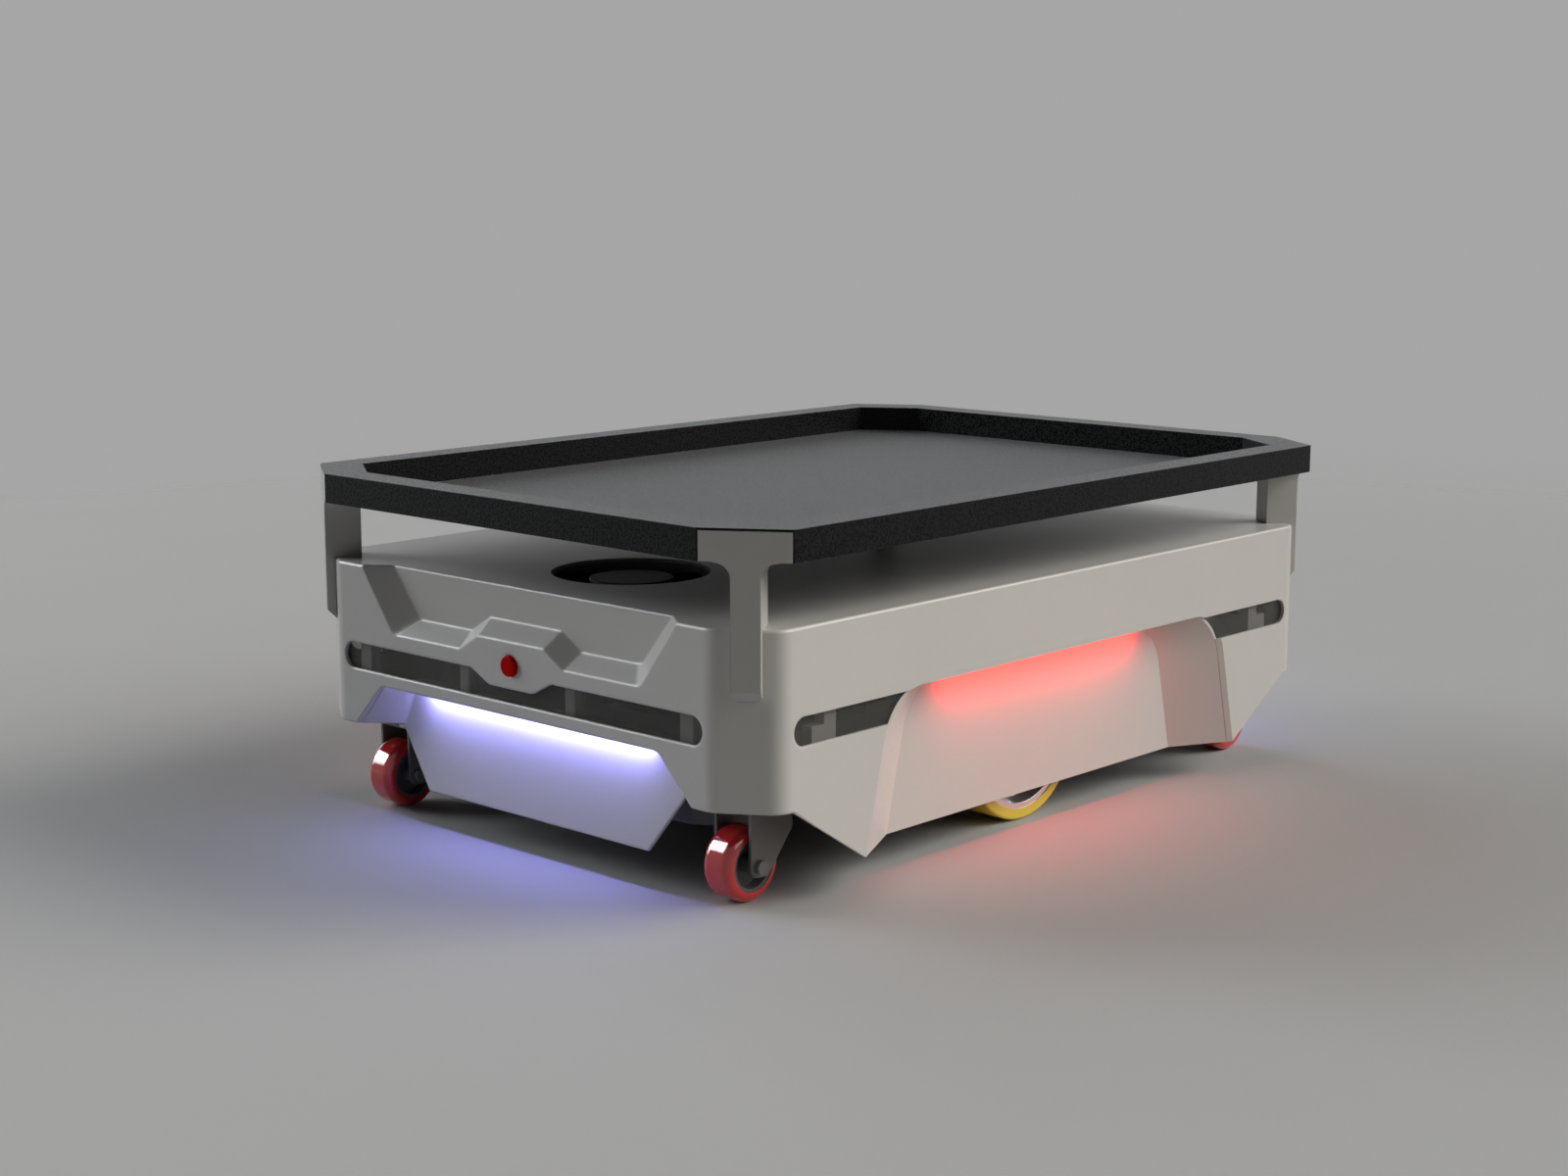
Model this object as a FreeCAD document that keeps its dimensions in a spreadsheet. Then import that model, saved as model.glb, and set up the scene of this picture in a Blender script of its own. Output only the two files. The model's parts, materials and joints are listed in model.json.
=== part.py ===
"""Autonomous mobile robot with a load tray, four casters and two drive wheels.

Millimetres, +X forward, +Y to the robot's left, +Z up, origin on the floor
under the middle of the robot.
"""
import FreeCAD
import Part
import math
import os

import Sketcher
from FreeCAD import Placement, Rotation, Vector

# Driving dimensions, in millimetres unless the name says otherwise.
# An Inset is measured inwards from the body's end or side face.
SIZES = {
    # Load tray
    "TrayLength": 1000.0, "TrayWidth": 717.0, "TrayTop": 377.5, "TrayCutX": 51.0, "TrayCutY": 76.5,
    "RimHeight": 31.5, "RimWidth": 37.5, "InnerCutX": 43.0, "TrayFloorThickness": 6.0, "TrayFloorLap": 12.0,
    "TrayFloorStep": 1.0, "TrayFloorGap": 0.5, "PostGap": 1.0,
    # Tray brackets
    "FlangeEndGap": 1.5, "FlangeThickness": 8.0, "FlangeLip": 2.4, "BracketDepth": 39.0, "PostWidth": 29.0,
    "PostFillet": 15.0, "WebLand": 1.0, "FinDepth": 10.5, "FinDrop": 69.0, "FinSlope": 11.0,
    "FinToeRound": 7.0,
    # Body shell
    "EndOverhang": 14.5, "SideOverhang": 17.0, "DeckHeight": 281.0, "BodyBottom": 104.0, "ShellWall": 4.0,
    "CornerRound": 25.0, "DeckEdgeRound": 3.2, "SkirtBottom": 38.0, "SkirtStartInset": 54.0,
    "SkirtTipInset": 158.0,
    # Window slots, panes and the ribs behind them
    "SlotDrop": 86.5, "SlotHeight": 29.2, "FrontSlotInset": 67.0, "SideSlotInset": 54.5, "PadDip": 14.2,
    "PadHalf": 33.5, "PadSlope": 28.0, "PadRound": 9.0, "GlassThickness": 3.0, "GlassLap": 9.0,
    "SideGlassLap": 5.0, "FrontGlassLap": 1.5, "GlassEndLap": 6.0, "GlassReach": 65.5, "GlassNotchGap": 2.5,
    "RibDepth": 12.0, "RibGap": 0.3, "RibLap": 4.5, "RibInnerPlace": 81.5, "RibInnerWidth": 14.0,
    "RibOuterInset": 28.0, "RibOuterWidth": 18.0, "SideRibInset": 58.5, "SideRibWidth": 17.0,
    "RibFootLength": 26.0, "RibFootRise": 14.7, "SlotEndFlat": 0.05, "SlotRunIn": 49.6,
    # Recess in the front face, with the island that carries the button
    "RecessDepth": 22.0, "RecessTopInset": 99.5, "RecessFloorInset": 151.5, "RecessRise": 16.5,
    "RecessDraftTop": 28.5, "RecessDraftFloor": 20.0, "RecessDraftRise": 16.3, "RecessRound": 14.0,
    "IslandHalf": 50.5, "IslandSlope": 29.5, "IslandRise": 17.7, "IslandSpread": 4.0, "IslandRound": 6.0,
    "RecessOver": 5.0,
    # Side scoops
    "ArchRise": 3.0, "ArchSlope": 0.232, "ArchRound": 62.0, "PanelInset": 38.8, "PanelNarrow": 76.5,
    "PanelRound": 72.0,
    # Front and rear scoops, and the liner of all four
    "ScoopDrop": 13.5, "ScoopFootInset": 82.0, "ScoopTopInset": 128.5, "ScoopRound": 11.0,
    "ApronDepth": 34.5, "ApronWaistInset": 123.5, "ApronTopNarrow": 8.0, "ApronFootInset": 171.5,
    "ApronFootForward": 6.3, "ApronTopBack": 4.5, "ApronWall": 3.5, "FootReach": 12.0,
    # Light strips
    "StripWidth": 12.0, "StripHeight": 5.0, "StripRound": 1.5, "FrontStripShort": 31.0,
    "SideStripShort": 177.5, "FrontStripInset": 21.5, "SideStripInset": 25.0,
    # Deck fan
    "PortInset": 170.5, "PortDiameter": 170.0, "FanLip": 2.0, "FanWall": 6.0, "FanHeight": 44.0,
    "FanClearance": 1.5, "HubDiameter": 90.0, "HubHeight": 26.0, "HubDrop": 6.0, "HubRound": 2.0,
    "FanFloor": 4.0, "BossInset": 4.0, "BossRise": 3.0, "StrutWidth": 8.0, "StrutBite": 2.0,
    "StrutCount": 4.0, "BladeThickness": 2.0, "BladeRootChord": 34.0, "BladeTipChord": 46.0,
    "BladeRootPitch": 38.0, "BladeTipPitch": 27.0, "BladeRootDepth": 3.0, "BladeOverlength": 4.0,
    "BladeCount": 7.0, "BladeDrop": 1.0, "ShaftDiameter": 8.0, "ShaftEndGap": 1.0,
    # Stop button
    "ButtonRise": 10.0, "ButtonDiameter": 22.0, "ButtonProud": 4.5, "ButtonTravel": 3.0,
    "ButtonLength": 6.5, "ButtonRound": 1.5, "ButtonGap": 0.3, "StemDiameter": 10.0, "StemLength": 18.0,
    "SwitchSide": 30.0, "SwitchDepth": 44.0, "SwitchRound": 3.0,
    # Chassis plate and belly tub
    "PlateDrop": 1.0, "PlateThickness": 5.0, "PlateGap": 0.4, "NotchGap": 0.5, "WheelGap": 6.0,
    "WheelSideGap": 4.0, "BayFrontInset": 148.0, "BayRearInset": 123.0, "BaySideInset": 90.0,
    "MotorBayHalf": 45.0, "TubInsetX": 87.5, "TubInsetY": 123.5, "TubCutX": 33.0, "TubWall": 3.0,
    "TubRound": 8.0, "MotorGap": 7.0, "MotorUnderGap": 2.0,
    # Drive units
    "DriveRadius": 92.0, "DriveWidth": 44.0, "DriveFaceGap": 14.7, "TreadThickness": 12.0,
    "TreadRound": 3.0, "RingWidth": 6.5, "RingSetback": 1.0, "RingFlare": 3.0, "DriveHubRadius": 26.0,
    "DriveHubSetback": 4.5, "DriveHubTaper": 4.0, "DriveWeb": 9.0, "SpokeHoleRadius": 13.0,
    "SpokeHoleCount": 6.0, "AxleDiameter": 20.0, "MotorDiameter": 70.0, "MotorLength": 84.0,
    "MotorBore": 44.0, "MotorCapLength": 22.0, "MotorCapStep": 6.0, "MotorSpigotRadius": 25.0,
    "SpigotGap": 0.2, "MountThickness": 8.0, "MountGap": 4.0, "MountHalf": 80.0, "MountRise": 44.0,
    "MountDrop": 34.0, "MountRound": 10.0, "MountStemGap": 1.0,
    # Casters
    "CasterInsetX": 83.5, "CasterInsetY": 80.5, "CasterRadius": 37.5, "CasterTrail": 18.5,
    "CasterWidth": 36.0, "TyreThickness": 10.5, "TyreCrown": 9.0, "CasterAxleRadius": 4.0,
    "CasterHubRadius": 9.0, "CasterHubProud": 2.5, "CasterWebWidth": 12.0, "CasterRimWall": 5.0,
    "CasterRimFlare": 1.5, "CasterRimSetback": 1.0, "ForkSideGap": 1.0, "ForkThickness": 3.5,
    "ForkDrop": 9.0, "ForkCrown": 4.0, "ForkRear": 28.5, "ForkCheek": 26.0, "ForkToe": 11.0,
    "ForkToeBack": 13.2, "ForkToeRound": 10.4, "BoltHeadRadius": 7.0, "BoltHeadHeight": 6.0,
    "BoltHeadRound": 1.0, "RaceGap": 0.4, "CasterPlateLength": 84.0, "CasterPlateWidth": 64.0,
    "CasterPlateThickness": 4.0, "CasterPlateRound": 8.0, "CupRadius": 24.0, "CupTaper": 5.0,
    "KingPinRadius": 6.0, "KingHeadRadius": 10.0, "KingHeadHeight": 4.5,
    # Bolts of the caster plates
    "BoltEdge": 10.0, "BoltRadius": 4.0, "BoltHoleGap": 0.2, "BoltHeadFlats": 6.5, "BoltHead": 4.5,
    "BoltTail": 6.0,
    # Battery and controller
    "BatteryHeight": 118.0, "BatteryEndGap": 15.0, "BatterySideGap": 10.0, "CaseRound": 6.0,
    "HandleWidth": 90.0, "HandleHeight": 14.0, "HandleDepth": 16.0, "ControllerLength": 130.0,
    "ControllerHeight": 96.0, "ControllerEndGap": 20.0, "ControllerSideGap": 23.0, "CaseGap": 30.0,
    "FinCount": 9.0, "FinEdge": 25.0, "FinThick": 4.0, "FinTall": 14.0, "FinEndInset": 12.0,
    # Corner scanners
    "ScannerBoltGap": 8.0, "ScannerBaseHeight": 46.0, "ScannerRadius": 31.0, "ScannerNeck": 5.0,
    "ScannerBand": 20.0, "ScannerCap": 22.0, "ScannerStep": 4.0, "ScannerRound": 3.0,
    # Fits and cutting tools
    "RunningFit": 0.05, "Overrun": 1.0, "Reach": 10.0,
}

doc = FreeCAD.newDocument("MobileRobot")
sheet = doc.addObject("Spreadsheet::Sheet", "Sizes")
parts = []


class Size:
    """A number kept together with the sheet formula that it comes from."""

    def __init__(self, value, formula):
        self.value = value
        self.formula = formula

    def join(self, other, sign, value):
        return Size(value, "(%s %s %s)" % (self.formula, sign, as_size(other).formula))

    def __add__(self, other):
        return self.join(other, "+", self.value + as_size(other).value)

    def __sub__(self, other):
        return self.join(other, "-", self.value - as_size(other).value)

    def __mul__(self, other):
        return self.join(other, "*", self.value * as_size(other).value)

    def __truediv__(self, other):
        return self.join(other, "/", self.value / as_size(other).value)

    def __radd__(self, other):
        return as_size(other) + self

    def __rsub__(self, other):
        return as_size(other) - self

    def __rmul__(self, other):
        return as_size(other) * self

    def __neg__(self):
        return as_size(0) - self


def as_size(number):
    if isinstance(number, Size):
        return number
    return Size(float(number), "%r" % float(number))


def root(size):
    return Size(math.sqrt(size.value), "sqrt(%s)" % size.formula)


def cosine(degrees):
    return Size(math.cos(math.radians(degrees.value)), "cos(%s)" % degrees.formula)


def sine(degrees):
    return Size(math.sin(math.radians(degrees.value)), "sin(%s)" % degrees.formula)


class Sheet:
    """The driving dimensions by name."""


S = Sheet()
for row, (alias, amount) in enumerate(SIZES.items(), 1):
    sheet.set("A%d" % row, alias)
    sheet.set("B%d" % row, "%r" % amount)
    sheet.setAlias("B%d" % row, alias)
    setattr(S, alias, Size(amount, "Sizes.%s" % alias))
doc.recompute()

# Tray outline, and the slanted faces across its corners
TRAY_X = S.TrayLength / 2
TRAY_Y = S.TrayWidth / 2
TRAY_BOTTOM = S.TrayTop - S.RimHeight
CUT_LENGTH = root(S.TrayCutX * S.TrayCutX + S.TrayCutY * S.TrayCutY)
NORMAL_X = S.TrayCutY / CUT_LENGTH
NORMAL_Y = S.TrayCutX / CUT_LENGTH
CUT_RATIO = S.TrayCutX / S.TrayCutY
TRAY_CORNER = NORMAL_X * TRAY_X + NORMAL_Y * (TRAY_Y - S.TrayCutY)
INSET_LOSS = (NORMAL_X + NORMAL_Y - 1) / NORMAL_X

# Body outline
BODY_X = TRAY_X - S.EndOverhang
BODY_Y = TRAY_Y - S.SideOverhang
BODY_CUT_Y = BODY_Y - (TRAY_CORNER - S.FinDepth - NORMAL_X * BODY_X) / NORMAL_Y
BODY_CUT_X = BODY_CUT_Y * CUT_RATIO
WALL_X = BODY_X - S.ShellWall
WALL_Y = BODY_Y - S.ShellWall
UNDER_DECK = S.DeckHeight - S.ShellWall

# Heights and half lengths that several pieces share
SLOT_TOP = S.DeckHeight - S.SlotDrop
SLOT_LOW = SLOT_TOP - S.SlotHeight
BUTTON_HEIGHT = SLOT_TOP + S.ButtonRise
ARCH_TOP = SLOT_TOP + S.ArchRise
SCOOP_TOP = SLOT_LOW - S.ScoopDrop
SKIRT_TIP = BODY_X - S.SkirtTipInset
FRONT_SLOT = BODY_Y - S.FrontSlotInset
SIDE_SLOT = BODY_X - S.SideSlotInset
PANEL_Y = BODY_Y - S.PanelInset
APRON_FOOT_DEPTH = S.ApronDepth - S.ApronFootForward
APRON_TOP_DEPTH = S.ApronDepth + S.ApronTopBack
SCOOP_HALF = BODY_Y - S.ScoopFootInset
SCOOP_TOP_HALF = BODY_Y - S.ScoopTopInset
APRON_WAIST = BODY_Y - S.ApronWaistInset
APRON_TOP_HALF = SCOOP_TOP_HALF - S.ApronTopNarrow
PORT_X = BODY_X - S.PortInset
PLATE_LOW = S.BodyBottom - S.PlateDrop
PLATE_TOP = PLATE_LOW + S.PlateThickness
TUB_FLOOR = S.DriveRadius - S.MotorDiameter / 2 - S.MotorUnderGap
TUB_LOW = TUB_FLOOR - S.TubWall
TUB_X = BODY_X - S.TubInsetX
TUB_Y = BODY_Y - S.TubInsetY
BAY_FRONT = TUB_X - S.BayFrontInset
BAY_REAR = TUB_X - S.BayRearInset
BAY_Y = TUB_Y - S.BaySideInset
CONTROLLER_FRONT = BAY_FRONT - S.ControllerEndGap
BATTERY_FRONT = CONTROLLER_FRONT - S.ControllerLength - S.CaseGap
BATTERY_REAR = S.BatteryEndGap - BAY_REAR
WHEEL_OUTER = PANEL_Y - S.ApronWall - S.DriveFaceGap
WHEEL_INNER = WHEEL_OUTER - S.DriveWidth
MOUNT_Y = TUB_Y + S.MountGap
CASTER_X = BODY_X - S.CasterInsetX
CASTER_Y = BODY_Y - S.CasterInsetY
FORK_TOP = PLATE_LOW - S.ForkDrop
FORK_INSIDE = S.CasterWidth + S.CasterHubProud * 2 + S.ForkSideGap * 2
BOLT_SPAN_X = S.CasterPlateLength - S.BoltEdge * 2
BOLT_SPAN_Y = S.CasterPlateWidth - S.BoltEdge * 2

FLIP = Rotation(Vector(0, 0, 1), 180)
ACROSS = Rotation(Vector(1, 1, 1), 120)
ALONG = Rotation(Vector(1, 0, 0), 90)
QUADRANTS = (("front_left", 1, 1), ("front_right", 1, -1), ("rear_left", -1, 1), ("rear_right", -1, -1))
TOUCH = 1e-3


def bind(item, name, size):
    item.setExpression(name, as_size(size).formula)


def keep(item, label):
    """Names a finished sub-part after its node."""
    item.Label = label
    parts.append(item)
    return item


def ring(sketch, corners):
    """Adds a closed outline; a corner is (x, y) or (x, y, radius)."""
    first = sketch.GeometryCount
    count = len(corners)
    for index, corner in enumerate(corners):
        after = corners[(index + 1) % count]
        start = Vector(as_size(corner[0]).value, as_size(corner[1]).value, 0)
        end = Vector(as_size(after[0]).value, as_size(after[1]).value, 0)
        sketch.addGeometry(Part.LineSegment(start, end), False)
    for index in range(count):
        after = first + (index + 1) % count
        sketch.addConstraint(Sketcher.Constraint("Coincident", first + index, 2, after, 1))
    anchors = []
    arcs = []
    for index, corner in enumerate(corners):
        if len(corner) > 2:
            sketch.fillet(first + index, 1, as_size(corner[2]).value, True, True)
            arcs.append((sketch.GeometryCount - 2, corner[2]))
            anchors.append(sketch.GeometryCount - 1)
        else:
            anchors.append(first + index)
    for anchor, corner in zip(anchors, corners):
        for kind, size in (("DistanceX", corner[0]), ("DistanceY", corner[1])):
            limit(sketch, Sketcher.Constraint(kind, -1, 1, anchor, 1, as_size(size).value), size)
    for arc, radius in arcs:
        limit(sketch, Sketcher.Constraint("Radius", arc, as_size(radius).value), radius)


def limit(sketch, constraint, size):
    index = sketch.addConstraint(constraint)
    bind(sketch, "Constraints[%d]" % index, size)


def disc(sketch, place_x, place_y, radius):
    """Adds a circle."""
    centre = Vector(as_size(place_x).value, as_size(place_y).value, 0)
    circle = sketch.addGeometry(Part.Circle(centre, Vector(0, 0, 1), as_size(radius).value), False)
    limit(sketch, Sketcher.Constraint("DistanceX", -1, 1, circle, 3, centre.x), place_x)
    limit(sketch, Sketcher.Constraint("DistanceY", -1, 1, circle, 3, centre.y), place_y)
    limit(sketch, Sketcher.Constraint("Radius", circle, as_size(radius).value), radius)


def draw(body, name, role, rings=(), discs=(), lift=0):
    """A sketch on one of the body's own origin planes."""
    sketch = body.newObject("Sketcher::SketchObject", name)
    plane = next(item for item in body.Origin.OriginFeatures if item.Role == role)
    sketch.AttachmentSupport = [(plane, "")]
    sketch.MapMode = "FlatFace"
    bind(sketch, "AttachmentOffset.Base.z", lift)
    for corners in rings:
        ring(sketch, corners)
    for place_x, place_y, radius in discs:
        disc(sketch, place_x, place_y, radius)
    return sketch


def new_body(label):
    return keep(doc.addObject("PartDesign::Body", label + "_body"), label)


def swept(body, kind, sketch, length, reverse=False, symmetric=False):
    """A pad or pocket of a sketch."""
    feature = body.newObject("PartDesign::" + kind, sketch.Name + "_" + kind.lower())
    feature.Profile = sketch
    feature.Midplane = symmetric
    feature.Reversed = reverse
    bind(feature, "Length", length)
    return feature


def turned(body, sketch, axis="V_Axis"):
    """A full revolution of a sketch about one of its own axes."""
    feature = body.newObject("PartDesign::Revolution", sketch.Name + "_turn")
    feature.Profile = sketch
    feature.ReferenceAxis = (sketch, [axis])
    feature.Angle = 360
    return feature


def lofted(body, kind, first, second):
    feature = body.newObject("PartDesign::" + kind, first.Name + "_loft")
    feature.Profile = first
    feature.Sections = [second]
    feature.Ruled = True
    return feature


def mirrored(body, features, role, name):
    """Repeats features on the other side of an origin plane."""
    feature = body.newObject("PartDesign::Mirrored", name)
    plane = next(item for item in body.Origin.OriginFeatures if item.Role == role)
    feature.Originals = features
    feature.MirrorPlane = (plane, [""])
    body.Tip = feature
    return feature


def around(body, features, sketch, count, name):
    """Repeats features about a sketch's normal."""
    feature = body.newObject("PartDesign::PolarPattern", name)
    feature.Originals = features
    feature.Axis = (sketch, ["N_Axis"])
    feature.Angle = 360
    bind(feature, "Occurrences", count)
    body.Tip = feature
    return feature


def rounded(body, base, radius, wanted, name):
    """Fillets the edges of a feature that the test picks out."""
    doc.recompute()
    edges = ["Edge%d" % number for number, edge in enumerate(base.Shape.Edges, 1) if wanted(edge)]
    feature = body.newObject("PartDesign::Fillet", name)
    feature.Base = (base, edges)
    bind(feature, "Radius", radius)
    return feature


def at_height(height):
    """Picks the edges that lie flat at a height."""
    def test(edge):
        spread = edge.BoundBox
        return abs(spread.ZMin - height.value) < TOUCH and abs(spread.ZMax - height.value) < TOUCH
    return test


def box(name, low, size, rotation=None):
    """A block from its lowest corner and its sizes."""
    item = doc.addObject("Part::Box", name)
    if rotation is not None:
        item.Placement = Placement(Vector(0, 0, 0), rotation)
    for side, length in zip(("Length", "Width", "Height"), size):
        bind(item, side, length)
    for axis, place in zip("xyz", low):
        bind(item, "Placement.Base." + axis, place)
    return item


def centred_box(name, middle, size):
    """A block that stands on a height, centred on a point in plan."""
    low = (middle[0] - as_size(size[0]) / 2, middle[1] - as_size(size[1]) / 2, middle[2])
    return box(name, low, size)


def fused(name, items):
    item = doc.addObject("Part::MultiFuse", name)
    item.Shapes = items
    return item


def cut(name, base, tool):
    item = doc.addObject("Part::Cut", name)
    item.Base = base
    item.Tool = tool
    return item


def softened(name, base, radius, wanted):
    """Fillets the edges of a block that the test picks out."""
    doc.recompute()
    item = doc.addObject("Part::Fillet", name)
    item.Base = base
    amount = as_size(radius).value
    item.Edges = [(number, amount, amount) for number, edge in enumerate(base.Shape.Edges, 1) if wanted(edge)]
    return item


def upright(edge):
    """Picks the vertical edges."""
    spread = edge.BoundBox
    return spread.XLength < TOUCH and spread.YLength < TOUCH


def place(item, place_x, place_y, place_z, rotation=None):
    """Puts a body where the robot carries it."""
    if rotation is not None:
        item.Placement = Placement(Vector(0, 0, 0), rotation)
    for axis, amount in zip("xyz", (place_x, place_y, place_z)):
        bind(item, "Placement.Base." + axis, amount)


def octagon(half_x, half_y, cut_x, cut_y, radius=None):
    """A rectangle with its four corners cut off, counter-clockwise."""
    flat_x = half_x - cut_x
    flat_y = half_y - cut_y
    points = [(half_x, -flat_y), (half_x, flat_y), (flat_x, half_y), (-flat_x, half_y),
              (-half_x, flat_y), (-half_x, -flat_y), (-flat_x, -half_y), (flat_x, -half_y)]
    if radius is None:
        return points
    return [point + (radius,) for point in points]


def body_plan(inset, radius):
    """The body's outline in plan, moved inwards with its corner faces kept parallel."""
    cut_x = BODY_CUT_X - inset * INSET_LOSS
    return octagon(BODY_X - inset, BODY_Y - inset, cut_x, cut_x / CUT_RATIO, radius)


def rectangle(low_x, low_y, high_x, high_y, radius=None):
    points = [(low_x, low_y), (high_x, low_y), (high_x, high_y), (low_x, high_y)]
    if radius is None:
        return points
    return [point + (radius,) for point in points]


def arch(depth, wall=0, foot=0):
    """The side scoop's outline at a depth behind the body's side face."""
    share = depth / S.PanelInset
    foot_height = S.SkirtBottom - foot
    half_foot = SKIRT_TIP - S.PanelNarrow * share + wall + S.ArchSlope * foot
    top = ARCH_TOP + wall
    half_top = half_foot - S.ArchSlope * (top - foot_height)
    radius = S.ArchRound + (S.PanelRound - S.ArchRound) * share + wall
    return [(half_foot, foot_height), (half_top, top, radius), (-half_top, top, radius),
            (-half_foot, foot_height)]


def scoop(depth, wall=0, foot=0):
    """The front scoop's outline at a depth behind the body's front face."""
    share = depth / S.ApronDepth
    half_foot = SCOOP_HALF - (SCOOP_HALF - APRON_WAIST) * share + wall
    half_top = SCOOP_TOP_HALF - S.ApronTopNarrow * share + wall
    slope = (half_foot - half_top) / (SCOOP_TOP - S.BodyBottom)
    top = SCOOP_TOP + wall
    low = S.BodyBottom - foot
    return [(half_foot + slope * foot, low), (half_top - slope * wall, top, S.ScoopRound),
            (slope * wall - half_top, top, S.ScoopRound), (-half_foot - slope * foot, low)]


def miter(slope, wall):
    """How far a corner between a flat and a slope moves sideways for a wall's thickness."""
    return wall * (root(slope * slope + 1) - slope)


def recess(share, wall=0, over=0):
    """The front recess outline, from the front face (share 0) to its back wall (share 1)."""
    top_half = BODY_Y - S.RecessTopInset - S.RecessDraftTop * share
    floor_half = BODY_Y - S.RecessFloorInset - S.RecessDraftFloor * share
    floor = SLOT_TOP + S.RecessRise + S.RecessDraftRise * share
    slope = (top_half - floor_half) / (S.DeckHeight - floor)
    edge = top_half + slope * (wall + over) + miter(slope, wall)
    island_miter = miter(S.IslandSlope / S.IslandRise, wall)
    island_half = S.IslandHalf + S.IslandSpread * share - island_miter
    right = [(edge, S.DeckHeight + over),
             (floor_half + miter(slope, wall), floor - wall, S.RecessRound),
             (island_half + S.IslandSlope, floor - wall, S.IslandRound),
             (island_half, floor + S.IslandRise - wall, S.IslandRound)]
    left = [(-point[0],) + point[1:] for point in reversed(right)]
    return right + left


def shell_form(body):
    """The outer form of the moulded shell, hollowed from below."""
    plan = draw(body, "shell_plan", "XY_Plane", [body_plan(as_size(0), S.CornerRound)], lift=S.SkirtBottom)
    block = swept(body, "Pad", plan, S.DeckHeight - S.SkirtBottom)
    rounded(body, block, S.DeckEdgeRound, at_height(S.DeckHeight), "deck_edge")
    below = S.SkirtBottom - S.Reach
    beyond = BODY_X + S.Reach
    start = BODY_X - S.SkirtStartInset
    trim = [[(side * beyond, below), (side * beyond, S.BodyBottom), (side * start, S.BodyBottom),
             (side * SKIRT_TIP, S.SkirtBottom), (side * SKIRT_TIP, below)] for side in (1, -1)]
    swept(body, "Pocket", draw(body, "skirt_line", "XZ_Plane", trim), (BODY_Y + S.Reach) * 2, symmetric=True)
    plan = body_plan(S.ShellWall, S.CornerRound - S.ShellWall)
    inner = draw(body, "shell_inside", "XY_Plane", [plan], lift=below)
    swept(body, "Pocket", inner, UNDER_DECK - below, reverse=True)


def shell_ribs(body):
    """Ribs under the deck that hold the window panes against the wall."""
    back = WALL_X - S.GlassThickness - S.RibGap
    side_back = WALL_Y - S.GlassThickness - S.RibGap
    side_place = SIDE_SLOT - S.SideRibInset
    outer_place = FRONT_SLOT - S.RibOuterInset
    ribs = []
    feet = []
    for _, end, side in QUADRANTS:
        for spot, width in ((S.RibInnerPlace, S.RibInnerWidth), (outer_place, S.RibOuterWidth)):
            ribs.append(rectangle(end * (back - S.RibDepth), side * spot - width / 2,
                                  end * back, side * spot + width / 2))
        ribs.append(rectangle(end * side_place - S.SideRibWidth / 2, side * (side_back - S.RibDepth),
                              end * side_place + S.SideRibWidth / 2, side * side_back))
        feet.append(rectangle(end * side_place, side * (side_back - S.RibDepth),
                              end * (side_place + S.RibFootLength), side * side_back))
    top = S.DeckHeight - S.ShellWall / 2
    low = SLOT_LOW - S.RibLap
    swept(body, "Pad", draw(body, "rib_plan", "XY_Plane", ribs, lift=top), top - low, reverse=True)
    swept(body, "Pad", draw(body, "rib_feet", "XY_Plane", feet, lift=low), S.RibLap + S.RibFootRise)


def shell_recess(body):
    """The drafted recess in the front face, with its island and its own wall behind."""
    depth = S.ShellWall / 2
    mouth = recess(depth / S.RecessDepth, S.ShellWall, -depth)
    floor = recess(as_size(1), S.ShellWall, -depth)
    outside = draw(body, "recess_back_front", "YZ_Plane", [mouth], lift=BODY_X - depth)
    inside = draw(body, "recess_back_rear", "YZ_Plane", [floor], lift=WALL_X - S.RecessDepth)
    lofted(body, "AdditiveLoft", outside, inside)
    mouth = draw(body, "recess_mouth", "YZ_Plane", [recess(as_size(0), over=S.RecessOver)], lift=BODY_X)
    wall = draw(body, "recess_wall", "YZ_Plane", [recess(as_size(1), over=S.RecessOver)],
                lift=BODY_X - S.RecessDepth)
    lofted(body, "SubtractiveLoft", mouth, wall)


def shell_slots(body):
    """Window slots with round ends in all four sides."""
    end = S.SlotHeight / 2 - S.SlotEndFlat
    deep = S.ShellWall + S.Overrun * 2
    out_x = BODY_X + S.Overrun
    out_y = BODY_Y + S.Overrun
    spread = S.PadHalf + S.PadSlope
    dip = SLOT_TOP - S.PadDip
    front = [(FRONT_SLOT, SLOT_LOW, end), (FRONT_SLOT, SLOT_TOP, end), (spread, SLOT_TOP, S.PadRound),
             (S.PadHalf, dip, S.PadRound), (-S.PadHalf, dip, S.PadRound), (-spread, SLOT_TOP, S.PadRound),
             (-FRONT_SLOT, SLOT_TOP, end), (-FRONT_SLOT, SLOT_LOW, end)]
    swept(body, "Pocket", draw(body, "front_slot", "YZ_Plane", [front], lift=out_x), deep)
    plain = rectangle(-FRONT_SLOT, SLOT_LOW, FRONT_SLOT, SLOT_TOP, end)
    swept(body, "Pocket", draw(body, "rear_slot", "YZ_Plane", [plain], lift=-out_x), deep, reverse=True)
    inner = SKIRT_TIP - S.ArchSlope * (SLOT_TOP - S.SkirtBottom) - S.SlotRunIn
    ahead = [(inner, SLOT_LOW), (SIDE_SLOT, SLOT_LOW, end), (SIDE_SLOT, SLOT_TOP, end), (inner, SLOT_TOP)]
    behind = [(-inner, SLOT_LOW), (-inner, SLOT_TOP), (-SIDE_SLOT, SLOT_TOP, end),
              (-SIDE_SLOT, SLOT_LOW, end)]
    slots = [ahead, behind]
    swept(body, "Pocket", draw(body, "left_slots", "XZ_Plane", slots, lift=-out_y), deep, reverse=True)
    swept(body, "Pocket", draw(body, "right_slots", "XZ_Plane", slots, lift=out_y), deep)


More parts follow.
